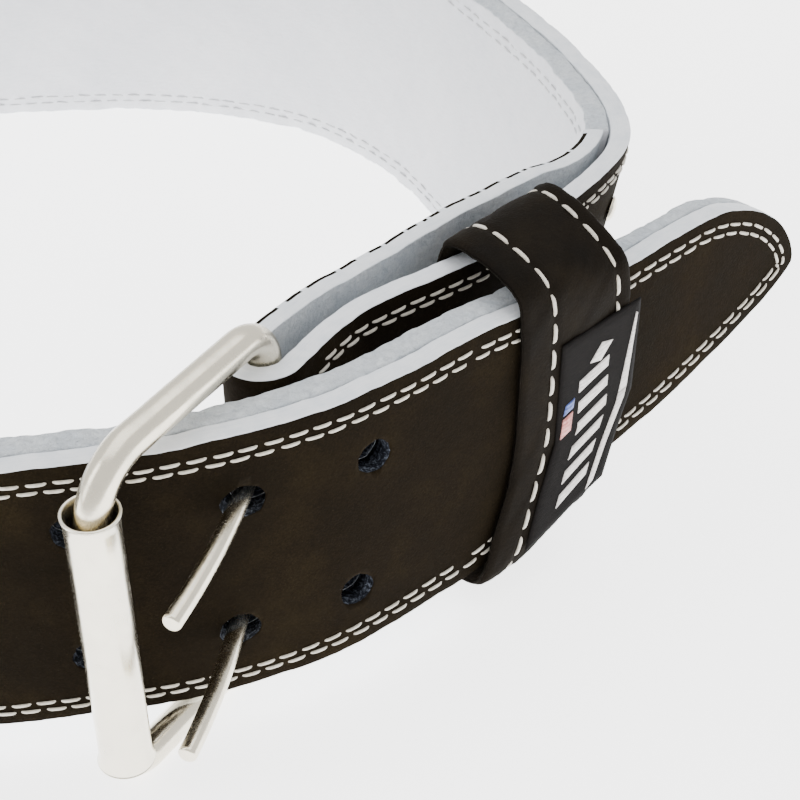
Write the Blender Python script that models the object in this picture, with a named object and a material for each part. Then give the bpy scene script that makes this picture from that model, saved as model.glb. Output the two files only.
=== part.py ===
"""Two-ply leather weightlifting belt with a double-prong roller buckle, fastened and standing on its edge.

The belt is a spiral in plan. It starts at the free tip of the tail, runs along the near wall to the left,
round the far wall and the right-hand corner, and ends inside the tail, where the outer ply is folded round
the rear bar of the buckle. Plan points lie on the outer skin, half way up the strap, and +Y is away from
the buckle. Heights are first measured from the strap's lower edge, and then every piece is raised by the
lift of its place, because the buckle stands under the strap.
"""
import math

import bmesh
import bpy
from mathutils import Vector

MM = 0.001

# Strap
STRAP_WIDTH = 90.0 * MM
OUTER_PLY = 6.3 * MM
INNER_PLY = 7.5 * MM
PLY_GAP = 0.3 * MM
LOOP_WIDTH = 346.0 * MM
LOOP_DEPTH = 352.0 * MM
OVERLAP_SPAN = 100.0 * MM
CORNER_LEAN = math.radians(11.0)
STRAP_STEP = 9.5 * MM

# Tail
TONGUE_WIDTH = 68.6 * MM
TIP_LENGTH = 50.0 * MM
TIP_BELLY_LENGTH = 90.0 * MM
TIP_BLUNT = 0.3 * MM
TIP_POWER = 1.75
TIP_BELLY_POWER = 1.4
TIP_RISE = 2.0 * MM
TAPER_START = 85.0 * MM
TAPER_LENGTH = 65.0 * MM
TONGUE_RISE = 3.2 * MM
BELLY_RISE = 2.6 * MM
BELLY_START = 150.0 * MM
BELLY_LENGTH = 75.0 * MM
TIP_INNER_PLY = 5.0 * MM
PLY_TAPER_LENGTH = 68.0 * MM
TIP_STATIONS = 9

# Punched holes
HOLE_DIAMETER = 10.4 * MM
HOLE_FROM_TIP = 183.0 * MM
HOLE_PITCH = 40.0 * MM
HOLE_OVERRUN = 1.0 * MM
PRONG_SPACING = 45.0 * MM
PRONG_PAIR = 1
HOLE_FROM_ROOT = 86.4 * MM

# Buckle
WIRE_DIAMETER = 9.4 * MM
BUCKLE_REACH = 72.4 * MM
BUCKLE_ANGLE = math.radians(236.9)
BUCKLE_FOOTROOM = 1.0 * MM
BUCKLE_HEADROOM = 4.6 * MM
REAR_BEND = 6.7 * MM
REAR_UPPER_BEND = 11.0 * MM
FRONT_BEND = 9.0 * MM
FRONT_UPPER_BEND = 17.0 * MM
FOLD_CLEARANCE = 0.6 * MM
FOLD_START = math.radians(-33.0)
FOLD_STATIONS = 11
ROLLER_DIAMETER = 14.4 * MM
ROLLER_WALL = 1.1 * MM
ROLLER_RIM = 0.7 * MM
ROLLER_RIM_LENGTH = 4.0 * MM
ROLLER_LENGTH = 89.0 * MM
ROLLER_SEAT = 0.8 * MM

# Prongs
PRONG_DIAMETER = 5.2 * MM
PRONG_SEAT = 1.2 * MM
PRONG_PAST_HOLE = 46.0 * MM
PRONG_BOW = 3.8 * MM
EYE_CLEARANCE = 0.4 * MM
EYE_TURN = math.radians(290.0)
EYE_LEAVE = math.radians(40.0)
EYE_EASE = 6.0 * MM
SLOT_CLEARANCE = 0.7 * MM
SLOT_REACH = 14.0 * MM

# Flap and keeper
FLAP_LENGTH = 157.0 * MM
FLAP_GAP_END = 2.2 * MM
FLAP_BULGE = 14.4 * MM
KEEPER_FROM_FOLD = 79.0 * MM
KEEPER_WIDTH = 43.0 * MM
KEEPER_THICKNESS = 3.6 * MM
KEEPER_SLACK = 1.0 * MM
KEEPER_SKEW = 16.0 * MM
LABEL_THICKNESS = 0.8 * MM
LABEL_WIDTH = 33.0 * MM
LABEL_OVERHANG = 3.0 * MM
LABEL_LOW = 1.0 * MM
LABEL_DROP = 15.0 * MM
LABEL_SLOPE = 0.5 * MM

# Rivets
RIVET_HEAD = 8.4 * MM
RIVET_DOME = 1.7 * MM
RIVET_SHANK = 3.4 * MM
RIVET_FROM_END = 12.0 * MM
RIVET_SPACING = 46.0 * MM
TOUCH_GAP = 0.45 * MM

WIRE_SIDES = 12
PRONG_SIDES = 10
HOLE_SIDES = 14
ROLLER_SIDES = 28
RIVET_SIDES = 16

# The pair of holes in use stays by the buckle, so the tail reaches as far past its root as they allow.
TAIL_LENGTH = HOLE_FROM_TIP + PRONG_PAIR * HOLE_PITCH - HOLE_FROM_ROOT

# The buckle's lower side bar stands on the floor, and the lift falls to nothing at the back.
LIFT = BUCKLE_FOOTROOM + WIRE_DIAMETER / 2 * (1.0 + math.cos(math.pi / WIRE_SIDES))
# Start and end of that fall, as shares of LOOP_DEPTH from the middle.
LIFT_SHARES = (-0.16, 0.22)

# Outer skin of the strap in plan, in three stretches. The overlap of tail and strap keeps its own size
# when the loop changes, so its rows are measured from the loop's front right-hand corner.
# Columns of the overlap: x and y as shares of OVERLAP_SPAN, lean as a share of CORNER_LEAN.
TAIL_ROWS = (
    (-0.1592, 0.6054, 0.0),
    (-0.4290, 0.3766, 0.0),
    (-0.6401, 0.2358, 0.0),
    (-0.9307, 0.1162, 0.0),
    (-1.2318, 0.0458, 0.0),
)

# Columns of the loop: x as a share of LOOP_WIDTH, y as a share of LOOP_DEPTH, lean as a share of CORNER_LEAN.
LOOP_ROWS = (
    (0.000, -0.500, 0.0),
    (-0.173, -0.472, 0.0),
    (-0.324, -0.366, 0.0),
    (-0.413, -0.204, 0.0),
    (-0.436, 0.000, 0.0),
    (-0.413, 0.212, 0.0),
    (-0.328, 0.398, 0.0),
    (-0.173, 0.519, 0.0),
    (0.004, 0.547, 0.1),
    (0.158, 0.538, 0.3),
    (0.306, 0.484, 0.5),
    (0.416, 0.383, 0.75),
    (0.481, 0.270, 0.9),
    (0.529, 0.165, 1.0),
    (0.559, 0.057, 1.0),
    (0.565, -0.017, 1.0),
    (0.555, -0.068, 0.95),
    (0.523, -0.128, 0.8),
    (0.477, -0.187, 0.62),
    (0.434, -0.233, 0.45),
)

STRAP_END_ROWS = (
    (-0.4394, 0.7603, 0.2),
    (-0.5605, 0.6406, 0.08),
)

# Rear bar of the buckle, in shares of OVERLAP_SPAN.
REAR_BAR = (-0.7899, 0.4851)

# Heading of the straight tail from its root to its tip.
TAIL_DIRECTION = math.radians(42.9)

# Headings of the lower and the upper prong where they leave their holes.
PRONG_HEADINGS = (math.radians(-98.0), math.radians(-103.0))

# Pairs of punched holes from the tip on. The rows were punched by hand, so no pair is quite even.
# Columns: lower and upper hole, how far past its even place, as shares of HOLE_PITCH.
HOLE_ROWS = (
    (0.125, -0.05),
    (0.005, -0.0875),
    (0.018, 0.035),
    (0.0, 0.0),
    (0.0, 0.0),
    (0.0, 0.0),
)

# Space between the outer ply and the flap, from the fold to the flap's end.
# Columns: share of the flap's length, share of the way from the fold's gap to FLAP_BULGE, then to the end's.
FLAP_ROWS = (
    (0.00, 0.0, 0.0),
    (0.13, -0.6, 0.0),
    (0.23, -0.7, 0.0),
    (0.33, 0.0, 0.0),
    (0.43, 0.7, 0.0),
    (0.54, 1.0, 0.0),
    (0.66, 0.7, 0.08),
    (0.77, 0.35, 0.2),
    (0.85, 0.0, 0.72),
    (0.90, 0.0, 0.84),
    (1.00, 0.0, 1.0),
)

# One turn of the keeper round the strap and the tail.
# Columns: place across from the strap side (0) to the tail side (1), height share, skew share.
KEEPER_ROWS = (
    (0.00, 0.02, -0.50),
    (0.00, 0.20, -0.25),
    (0.00, 0.80, 0.25),
    (0.00, 0.97, 0.40),
    (0.07, 1.04, 0.35),
    (0.28, 1.08, 0.25),
    (0.62, 1.09, 0.10),
    (0.90, 1.07, 0.00),
    (1.01, 1.01, 0.00),
    (1.01, 0.80, 0.00),
    (1.00, 0.40, -0.05),
    (1.01, 0.22, -0.45),
    (1.03, 0.01, -0.90),
    (0.94, -0.03, -1.00),
    (0.60, -0.03, -0.95),
    (0.25, -0.025, -0.80),
    (0.04, -0.02, -0.60),
)
KEEPER_STATIONS = 7

SKIN_BLACK = (0.022, 0.019, 0.015)
SUEDE_PALE = (0.72, 0.76, 0.78)
KEEPER_BLACK = (0.026, 0.022, 0.019)
LABEL_BLACK = (0.012, 0.012, 0.016)
NICKEL = (0.72, 0.68, 0.60)


def clear_scene():
    for item in list(bpy.data.objects):
        bpy.data.objects.remove(item, do_unlink=True)


def make_material(name, color, roughness, metallic=0.0):
    material = bpy.data.materials.new(name)
    material.use_nodes = True
    shader = material.node_tree.nodes["Principled BSDF"]
    shader.inputs["Base Color"].default_value = (*color, 1.0)
    shader.inputs["Roughness"].default_value = roughness
    shader.inputs["Metallic"].default_value = metallic
    material.diffuse_color = (*color, 1.0)
    return material


def smoothstep(share):
    share = min(max(share, 0.0), 1.0)
    return share * share * (3.0 - 2.0 * share)


def lookup(rows, share, column):
    """Read a table column at a share of its first column, on straight lines between the rows."""
    share = min(max(share, rows[0][0]), rows[-1][0])
    for low, high in zip(rows, rows[1:]):
        if share <= high[0]:
            blend = (share - low[0]) / (high[0] - low[0])
            return low[column] + (high[column] - low[column]) * blend
    return rows[-1][column]


def lift_at(y):
    """Height of the strap's lower edge over the floor at depth y."""
    front, back = (share * LOOP_DEPTH for share in LIFT_SHARES)
    return LIFT * (1.0 - smoothstep((y - front) / (back - front)))


def finish_object(name, mesh_data, material, smooth_angle=None):
    """Turn a bmesh into a named object with outward faces."""
    bmesh.ops.triangulate(mesh_data, faces=[face for face in mesh_data.faces if len(face.verts) == 4])
    bmesh.ops.recalc_face_normals(mesh_data, faces=mesh_data.faces)
    mesh = bpy.data.meshes.new(name)
    mesh_data.to_mesh(mesh)
    mesh_data.free()
    mesh.materials.append(material)
    if smooth_angle:
        mesh.shade_smooth()
        mesh.set_sharp_from_angle(angle=smooth_angle)
    part = bpy.data.objects.new(name, mesh)
    bpy.context.scene.collection.objects.link(part)
    return part


def loft(rings, closed_loop=False):
    """Skin a row of equal rings of points, capped at both ends unless the row closes on itself."""
    body = bmesh.new()
    grid = [[body.verts.new(point) for point in ring] for ring in rings]
    count = len(rings[0])
    pairs = list(zip(grid, grid[1:]))
    if closed_loop:
        pairs.append((grid[-1], grid[0]))
    for ring, following in pairs:
        for k in range(count):
            n = (k + 1) % count
            body.faces.new((ring[k], ring[n], following[n], following[k]))
    if not closed_loop:
        body.faces.new(grid[0])
        body.faces.new(list(reversed(grid[-1])))
    return body


def tube_rings(points, radius, sides, plane_normal, closed_loop=False):
    """Rings of a round bar along a path that stays in one plane."""
    rings = []
    last = len(points) - 1
    for i, point in enumerate(points):
        before = points[i - 1] if closed_loop or i > 0 else point
        after = points[(i + 1) % len(points)] if closed_loop or i < last else point
        side = (after - before).normalized().cross(plane_normal)
        ring = []
        for k in range(sides):
            angle = 2.0 * math.pi * (k + 0.5) / sides
            ring.append(point + radius * (math.cos(angle) * side + math.sin(angle) * plane_normal))
        rings.append(ring)
    return rings


def lathe(profile, sides, centre, axis):
    """Spin a closed profile of (radius, distance along the axis) pairs."""
    axis = axis.normalized()
    across = axis.orthogonal().normalized()
    other = axis.cross(across)
    rings = []
    for k in range(sides):
        angle = 2.0 * math.pi * k / sides
        spoke = math.cos(angle) * across + math.sin(angle) * other
        rings.append([centre + spoke * radius + axis * along for radius, along in profile])
    return loft(rings, closed_loop=True)


def spun_solid(profile, sides, centre, axis):
    """Spin an open profile whose first and last points lie on the axis."""
    axis = axis.normalized()
    across = axis.orthogonal().normalized()
    other = axis.cross(across)
    body = bmesh.new()
    start = body.verts.new(centre + axis * profile[0][1])
    end = body.verts.new(centre + axis * profile[-1][1])
    rings = []
    for radius, along in profile[1:-1]:
        ring = []
        for k in range(sides):
            angle = 2.0 * math.pi * k / sides
            spoke = math.cos(angle) * across + math.sin(angle) * other
            ring.append(body.verts.new(centre + spoke * radius + axis * along))
        rings.append(ring)
    for k in range(sides):
        n = (k + 1) % sides
        body.faces.new((start, rings[0][n], rings[0][k]))
        body.faces.new((end, rings[-1][k], rings[-1][n]))
        for ring, following in zip(rings, rings[1:]):
            body.faces.new((ring[k], ring[n], following[n], following[k]))
    return body


class Station:
    """One place on the strap: skin point, outward normal, lean and distance from the tail tip."""

    def __init__(self, point, normal, lean, distance):
        self.point = point
        self.normal = normal
        self.lean = lean
        self.distance = distance

    def at(self, inward, height):
        """A point of the wall, its depth measured from the skin and its height from the lower edge."""
        outward = (height - STRAP_WIDTH / 2) * math.tan(self.lean) - inward
        plan = self.point + self.normal * outward
        return Vector((plan.x, plan.y, height + lift_at(plan.y)))


def curve_through(rows, steps):
    """Catmull-Rom curve through rows of (x, y, lean)."""
    points = []
    padded = [rows[0], *rows, rows[-1]]
    for a, b, c, d in zip(padded, padded[1:], padded[2:], padded[3:]):
        for k in range(steps):
            t = k / steps
            value = 0.5 * ((2 * b) + (c - a) * t + (2 * a - 5 * b + 4 * c - d) * t ** 2
                           + (3 * b - a - 3 * c + d) * t ** 3)
            points.append(value)
    points.append(rows[-1])
    return points


def resample(points, distances):
    """Read points of a fine polyline at given distances along it."""
    result = []
    walked = 0.0
    index = 0
    for wanted in distances:
        length = (points[index + 1].xy - points[index].xy).length
        while walked + length < wanted and index < len(points) - 2:
            walked += length
            index += 1
            length = (points[index + 1].xy - points[index].xy).length
        result.append(points[index].lerp(points[index + 1], (wanted - walked) / length))
    return result


def path_length(points):
    return sum((b.xy - a.xy).length for a, b in zip(points, points[1:]))


def unit(angle):
    return Vector((math.cos(angle), math.sin(angle)))


def overlap_place(x, y):
    """Plan point of the overlap, measured from the loop's front right-hand corner."""
    return LOOP_WIDTH / 2 + x * OVERLAP_SPAN, y * OVERLAP_SPAN - LOOP_DEPTH / 2


def rear_bar():
    return Vector(overlap_place(*REAR_BAR))


def fold_radius():
    return WIRE_DIAMETER / 2 + FOLD_CLEARANCE + OUTER_PLY


def strap_curve():
    """Fine skin line from the tail tip to the start of the fold."""
    rows = [Vector((*overlap_place(x, y), lean * CORNER_LEAN)) for x, y, lean in TAIL_ROWS]
    rows += [Vector((x * LOOP_WIDTH, y * LOOP_DEPTH, lean * CORNER_LEAN)) for x, y, lean in LOOP_ROWS]
    rows += [Vector((*overlap_place(x, y), lean * CORNER_LEAN)) for x, y, lean in STRAP_END_ROWS]
    root = rows[0]
    away = unit(TAIL_DIRECTION).to_3d()
    tail = [root + away * TAIL_LENGTH * share for share in (1.0, 0.75, 0.5, 0.25)]
    start = rear_bar() + fold_radius() * unit(FOLD_START)
    return curve_through([*tail, *rows, Vector((start.x, start.y, 0.0))], 12)


def station_distances(length):
    """Close stations round the tip, then even ones."""
    tip = [TIP_LENGTH * (1.0 - math.cos(math.pi / 2 * k / TIP_STATIONS)) for k in range(1, TIP_STATIONS + 1)]
    count = round((length - TIP_LENGTH) / STRAP_STEP)
    rest = [TIP_LENGTH + (length - TIP_LENGTH) * k / count for k in range(1, count + 1)]
    return [TIP_BLUNT, *tip, *rest]


def make_stations():
    """Stations of the outer skin from the tail tip to the fold."""
    curve = strap_curve()
    distances = station_distances(path_length(curve))
    points = resample(curve, distances)
    stations = []
    for i, point in enumerate(points):
        before = points[max(i - 1, 0)]
        after = points[min(i + 1, len(points) - 1)]
        along = (after.xy - before.xy).normalized()
        stations.append(Station(point.xy, Vector((-along.y, along.x)), point.z, distances[i]))
    return stations


def flap_gap(share):
    """Space between the outer ply and the flap at a share of the flap's length."""
    fold_gap = WIRE_DIAMETER + 2 * FOLD_CLEARANCE
    bulged = fold_gap + (FLAP_BULGE - fold_gap) * lookup(FLAP_ROWS, share, 1)
    return bulged + (FLAP_GAP_END - bulged) * lookup(FLAP_ROWS, share, 2)


def tip_share(distance, length, power):
    """Share of an edge's full distance from the tip's height, rising to one over a length."""
    left = 1.0 - min(distance / length, 1.0)
    return (1.0 - left ** power) ** (1.0 / power)


def strap_edges(distance):
    """Lower and upper edge of the strap at a distance from the tail tip."""
    taper = smoothstep((distance - TAPER_START) / TAPER_LENGTH)
    half = (TONGUE_WIDTH + (STRAP_WIDTH - TONGUE_WIDTH) * taper) / 2
    middle = STRAP_WIDTH / 2 + TONGUE_RISE * (1.0 - taper)
    belly = BELLY_RISE * (1.0 - smoothstep((distance - BELLY_START) / BELLY_LENGTH))
    tip = STRAP_WIDTH / 2 + TIP_RISE
    low = tip + (middle - half + belly - tip) * tip_share(distance, TIP_BELLY_LENGTH, TIP_BELLY_POWER)
    high = tip + (middle + half - tip) * tip_share(distance, TIP_LENGTH, TIP_POWER)
    return low, high


def inner_ply_at(distance):
    share = smoothstep((distance - TIP_LENGTH) / PLY_TAPER_LENGTH)
    return TIP_INNER_PLY + (INNER_PLY - TIP_INNER_PLY) * share


def ply_ring(station, near_face, far_face):
    """Four corners of a ply at a station."""
    low, high = strap_edges(station.distance)
    return [station.at(near_face, low), station.at(far_face, low),
            station.at(far_face, high), station.at(near_face, high)]


def build_outer_strap(stations, material):
    """Outer ply with its skin outside, the fold round the rear bar and the flap."""
    rings = [ply_ring(station, 0.0, OUTER_PLY) for station in stations]
    centre = rear_bar()
    for k in range(1, FOLD_STATIONS):
        angle = FOLD_START - math.pi * k / FOLD_STATIONS
        spoke = unit(angle)
        fold = Station(centre + spoke * fold_radius(), spoke, 0.0, stations[-1].distance)
        rings.append(ply_ring(fold, 0.0, OUTER_PLY))
    end = stations[-1].distance
    stop = end - FLAP_LENGTH
    flap = [station for station in reversed(stations) if station.distance > stop]
    for station in [*flap, nearest_station(stations, stop)]:
        skin = 2 * OUTER_PLY + flap_gap((end - station.distance) / FLAP_LENGTH)
        rings.append(ply_ring(station, skin, skin - OUTER_PLY))
    return finish_object("outer_strap", loft(rings), material)


def build_inner_lining(stations, material):
    """Inner suede ply, from the tail tip to the end of the flap."""
    stop = stations[-1].distance - FLAP_LENGTH - PLY_GAP
    rings = []
    lined = [station for station in stations if station.distance < stop]
    for station in [*lined, nearest_station(stations, stop)]:
        face = OUTER_PLY + PLY_GAP
        rings.append(ply_ring(station, face, face + inner_ply_at(station.distance)))
    return finish_object("inner_lining", loft(rings), material)


def nearest_station(stations, distance):
    """Station values at any distance, between the two stations beside it."""
    for a, b in zip(stations, stations[1:]):
        if b.distance >= distance:
            share = (distance - a.distance) / (b.distance - a.distance)
            normal = a.normal.lerp(b.normal, share).normalized()
            return Station(a.point.lerp(b.point, share), normal, a.lean + (b.lean - a.lean) * share, distance)
    return stations[-1]


def wall_axis(station):
    """Direction square to the leaning wall, outwards."""
    level = station.normal.to_3d() * math.cos(station.lean)
    return level - Vector((0.0, 0.0, math.sin(station.lean)))


def join_bodies(bodies):
    """Copy several closed bodies into one mesh."""
    joined = bmesh.new()
    for body in bodies:
        bmesh.ops.recalc_face_normals(body, faces=body.faces)
        mesh = bpy.data.meshes.new("cutter_piece")
        body.to_mesh(mesh)
        body.free()
        joined.from_mesh(mesh)
        bpy.data.meshes.remove(mesh)
    return joined


def cut(part, bodies, material):
    """Subtract hidden cutters from a part."""
    cutter = finish_object(part.name + "_cutter", join_bodies(bodies), material)
    cutter.hide_render = True
    cutter.display_type = "WIRE"
    modifier = part.modifiers.new("cuts", "BOOLEAN")
    modifier.operation = "DIFFERENCE"
    modifier.solver = "EXACT"
    modifier.object = cutter


def prong_heights():
    middle = STRAP_WIDTH / 2
    return middle - PRONG_SPACING / 2, middle + PRONG_SPACING / 2


def rod(radius, start, stop):
    """Plain closed rod profile for a cutter."""
    return ((0.0, start), (radius, start), (radius, stop), (0.0, stop))


def hole_place(pair, row):
    """Distance of a hole from the tail tip, in the lower row (0) or the upper row (1)."""
    return HOLE_FROM_TIP + (pair + HOLE_ROWS[pair][row]) * HOLE_PITCH


class ProngLine:
    """Plan line of a prong: eased from its eye round the rear bar into a straight run through its hole."""

    def __init__(self, stations, row):
        self.centre = rear_bar()
        self.height = prong_heights()[row]
        place = hole_place(PRONG_PAIR, row) + PRONG_SEAT
        self.mouth = nearest_station(stations, place).at(0.0, self.height).xy
        self.away = unit(PRONG_HEADINGS[row])
        self.side = Vector((-self.away.y, self.away.x))
        self.inside = self.mouth - self.away * (OUTER_PLY + PLY_GAP + INNER_PLY)
        reach = self.mouth - self.centre
        self.leave = math.atan2(reach.y, reach.x) - math.pi / 2 + EYE_LEAVE

    def shaft(self, share):
        """Point of the eased run from the eye's end to the inner face of the strap."""
        start = self.centre + eye_radius() * unit(self.leave)
        ease = unit(self.leave + math.pi / 2) * EYE_EASE
        knots = (start, start + ease, self.inside - self.away * EYE_EASE, self.inside)
        left = 1.0 - share
        weights = (left ** 3, 3 * left ** 2 * share, 3 * left * share ** 2, share ** 3)
        return sum((knot * weight for knot, weight in zip(knots, weights)), Vector((0.0, 0.0)))


def hole_bodies(stations):
    """Rods for the pairs of round prong holes, those in use pulled into line with the prongs."""
    wall = OUTER_PLY + PLY_GAP + INNER_PLY
    bodies = []
    for pair in range(len(HOLE_ROWS)):
        for row, height in enumerate(prong_heights()):
            station = nearest_station(stations, hole_place(pair, row))
            axis = wall_axis(station)
            if pair == PRONG_PAIR:
                axis = ProngLine(stations, row).away.to_3d()
            slant = axis.dot(wall_axis(station))
            reach = (wall + HOLE_DIAMETER / 2 * math.sqrt(max(1.0 - slant * slant, 0.0))) / slant
            profile = rod(HOLE_DIAMETER / 2, -reach - HOLE_OVERRUN, wall)
            bodies.append(spun_solid(profile, HOLE_SIDES, station.at(0.0, height), axis))
    return bodies


def box_body(centre, axes, halves):
    """Closed box from a centre, three axes and three half lengths."""
    rings = []
    for side in (-1, 1):
        ring = []
        for a, b in ((-1, -1), (1, -1), (1, 1), (-1, 1)):
            offsets = (halves[0] * side, halves[1] * a, halves[2] * b)
            ring.append(centre + sum((axis * part for axis, part in zip(axes, offsets)), Vector()))
        rings.append(ring)
    return loft(rings)


def eye_radius():
    return (WIRE_DIAMETER + PRONG_DIAMETER) / 2 + EYE_CLEARANCE


def slot_bodies():
    """Boxes for the slots in the fold that let the prong eyes sit on the rear bar."""
    centre = rear_bar()
    along = unit(FOLD_START + math.pi / 2).to_3d()
    across = Vector((-along.y, along.x, 0.0))
    up = Vector((0.0, 0.0, 1.0))
    bodies = []
    for height in prong_heights():
        middle = centre.to_3d() + up * (height + lift_at(centre.y))
        reach = (SLOT_REACH + fold_radius()) / 2
        middle -= along * (reach - eye_radius() - PRONG_DIAMETER / 2 - SLOT_CLEARANCE)
        halves = (reach, fold_radius() + OUTER_PLY / 2, PRONG_DIAMETER / 2 + SLOT_CLEARANCE)
        bodies.append(box_body(middle, (along, across, up), halves))
    return bodies


def rivet_places(stations):
    """Skin points, axis and thickness of the stack at the two rivets near the flap's end."""
    station = nearest_station(stations, stations[-1].distance - FLAP_LENGTH + RIVET_FROM_END)
    stack = 2 * OUTER_PLY + flap_gap(1.0 - RIVET_FROM_END / FLAP_LENGTH)
    middle = STRAP_WIDTH / 2
    places = [station.at(0.0, middle + RIVET_SPACING * side) for side in (0.5, -0.5)]
    return places, wall_axis(station), stack


def rivet_bodies(stations):
    """Rods for the rivet holes."""
    places, axis, stack = rivet_places(stations)
    bore = rod(RIVET_SHANK / 2 + TOUCH_GAP, -stack - OUTER_PLY, OUTER_PLY)
    return [spun_solid(bore, RIVET_SIDES, place, axis) for place in places]


def build_rivets(stations, material):
    """Two rivets through the outer ply and the flap."""
    places, axis, stack = rivet_places(stations)
    head = RIVET_HEAD / 2
    shank = RIVET_SHANK / 2
    profile = (
        (0.0, TOUCH_GAP + RIVET_DOME),
        (head * 0.55, TOUCH_GAP + RIVET_DOME * 0.86),
        (head * 0.9, TOUCH_GAP + RIVET_DOME * 0.4),
        (head, TOUCH_GAP),
        (shank, TOUCH_GAP),
        (shank, -stack - TOUCH_GAP),
        (head * 0.8, -stack - TOUCH_GAP),
        (head * 0.7, -stack - TOUCH_GAP - RIVET_DOME * 0.5),
        (0.0, -stack - TOUCH_GAP - RIVET_DOME * 0.6),
    )
    for name, place in zip(("rivet_upper", "rivet_lower"), places):
        finish_object(name, spun_solid(profile, RIVET_SIDES, place, axis), material, math.radians(40))


def buckle_plane():
    """Rear bar, direction to the front bar and the two side bar heights."""
    rear = rear_bar()
    away = unit(BUCKLE_ANGLE).to_3d()
    low = -BUCKLE_FOOTROOM - WIRE_DIAMETER / 2
    high = STRAP_WIDTH + BUCKLE_HEADROOM + WIRE_DIAMETER / 2
    return rear, away, low, high


def build_buckle_frame(material):
    """Round wire bent to a rectangle with round corners."""
    rear, away, low, high = buckle_plane()
    up = Vector((0.0, 0.0, 1.0))
    corners = (
        (0.0, low, 2, REAR_BEND),
        (BUCKLE_REACH, low, 3, FRONT_BEND),
        (BUCKLE_REACH, high, 0, FRONT_UPPER_BEND),
        (0.0, high, 1, REAR_UPPER_BEND),
    )
    steps = 6
    points = []
    for reach, height, quarter, bend in corners:
        centre_reach = reach + bend * (1 if reach == 0.0 else -1)
        centre_height = height + bend * (1 if height == low else -1)
        for k in range(steps + 1):
            angle = math.pi / 2 * (quarter + k / steps)
            along = centre_reach + bend * math.cos(angle)
            rise = centre_height + bend * math.sin(angle)
            points.append(rear.to_3d() + away * along + up * (rise + lift_at(rear.y)))
    rings = tube_rings(points, WIRE_DIAMETER / 2, WIRE_SIDES, away.cross(up), closed_loop=True)
    return finish_object("buckle_frame", loft(rings, closed_loop=True), material, math.radians(40))


def build_roller(material):
    """Thin tube that turns on the front bar, with its origin on the bar's axis."""
    rear, away, low, high = buckle_plane()
    front = rear.to_3d() + away * BUCKLE_REACH
    front.z = low + (WIRE_DIAMETER + ROLLER_LENGTH) / 2 + ROLLER_SEAT + lift_at(rear.y)
    outer = ROLLER_DIAMETER / 2
    bore = outer - ROLLER_WALL
    half = ROLLER_LENGTH / 2
    profile = (
        (outer + ROLLER_RIM, half),
        (outer, half - ROLLER_RIM_LENGTH),
        (outer, ROLLER_RIM_LENGTH - half),
        (outer + ROLLER_RIM, -half),
        (bore + ROLLER_RIM, -half),
        (bore, ROLLER_RIM_LENGTH - half),
        (bore, half - ROLLER_RIM_LENGTH),
        (bore + ROLLER_RIM, half),
    )
    body = lathe(profile, ROLLER_SIDES, Vector((0.0, 0.0, 0.0)), Vector((0.0, 0.0, 1.0)))
    roller = finish_object("roller", body, material, math.radians(30))
    roller.location = front
    return roller


def prong_path(line):
    """Eye round the rear bar, then a shaft out through the strap hole, bowed beyond it."""
    turns, eased, bowed = 20, 6, 9
    spots = []
    for k in range(turns):
        spots.append(line.centre + eye_radius() * unit(line.leave - EYE_TURN * (1.0 - k / turns)))
    spots += [line.shaft(k / eased) for k in range(eased)] + [line.inside]
    for k in range(bowed + 1):
        share = k / bowed
        spots.append(line.mouth + line.away * PRONG_PAST_HOLE * share - line.side * PRONG_BOW * share * share)
    level = line.height + lift_at(line.centre.y)
    return [Vector((spot.x, spot.y, level)) for spot in spots]


def build_prongs(stations, material):
    for row, name in enumerate(("prong_lower", "prong_upper")):
        path = prong_path(ProngLine(stations, row))
        rings = tube_rings(path, PRONG_DIAMETER / 2, PRONG_SIDES, Vector((0.0, 0.0, 1.0)))
        finish_object(name, loft(rings), material, math.radians(40))


class KeeperFrame:
    """Straight axes at the keeper: u runs along the strap to the tail's tip, n from strap to tail."""

    def __init__(self, stations):
        self.centre = nearest_station(stations, stations[-1].distance - KEEPER_FROM_FOLD)
        self.n = self.centre.normal
        self.u = Vector((-self.n.y, self.n.x))
        self.strap = self.read(stations, stations[-1].distance - 2 * KEEPER_FROM_FOLD, stations[-1].distance)
        self.tail = self.read(stations, 0.0, HOLE_FROM_TIP)

    def read(self, stations, first, last):
        """Skin line between two distances as rows of (u, n, lean, distance)."""
        rows = []
        for station in stations:
            if first <= station.distance <= last:
                offset = station.point - self.centre.point
                rows.append((offset.dot(self.u), offset.dot(self.n), station.lean, station.distance))
        return sorted(rows)

    def strap_face(self, u, height):
        """Place of the strap's skin across the keeper."""
        lean = lookup(self.strap, u, 2)
        return lookup(self.strap, u, 1) + (height - STRAP_WIDTH / 2) * math.tan(lean)

    def tail_face(self, u):
        return lookup(self.tail, u, 1)

    def tail_edges(self, u):
        return strap_edges(lookup(self.tail, u, 3))

    def world(self, u, n, height):
        plan = self.centre.point + self.u * u + self.n * n
        return Vector((plan.x, plan.y, height + lift_at(self.centre.point.y)))

    def turn_point(self, u, row):
        """Middle of the keeper's thickness at one row of its table."""
        across, rise, skew = row
        place = u + KEEPER_SKEW * skew
        room = KEEPER_THICKNESS / 2 + KEEPER_SLACK
        tail_low, tail_high = self.tail_edges(place)
        low = -room * (1.0 - across) + (tail_low - room) * across
        high = (STRAP_WIDTH + room) * (1.0 - across) + (tail_high + room) * across
        height = low + (high - low) * rise
        root = self.strap_face(place, height) - OUTER_PLY - room
        front = self.tail_face(place) + room
        return Vector((place, root + (front - root) * across, height))

    def front_point(self, u, height):
        """Middle of the keeper's thickness on its front, before its corners are rounded."""
        rows = [self.turn_point(u, row) for row in KEEPER_ROWS if row[0] >= 1.0]
        for high, low in zip(rows, rows[1:]):
            if height >= low.z:
                return high.lerp(low, (high.z - height) / (high.z - low.z))
        return rows[-1]


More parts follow.
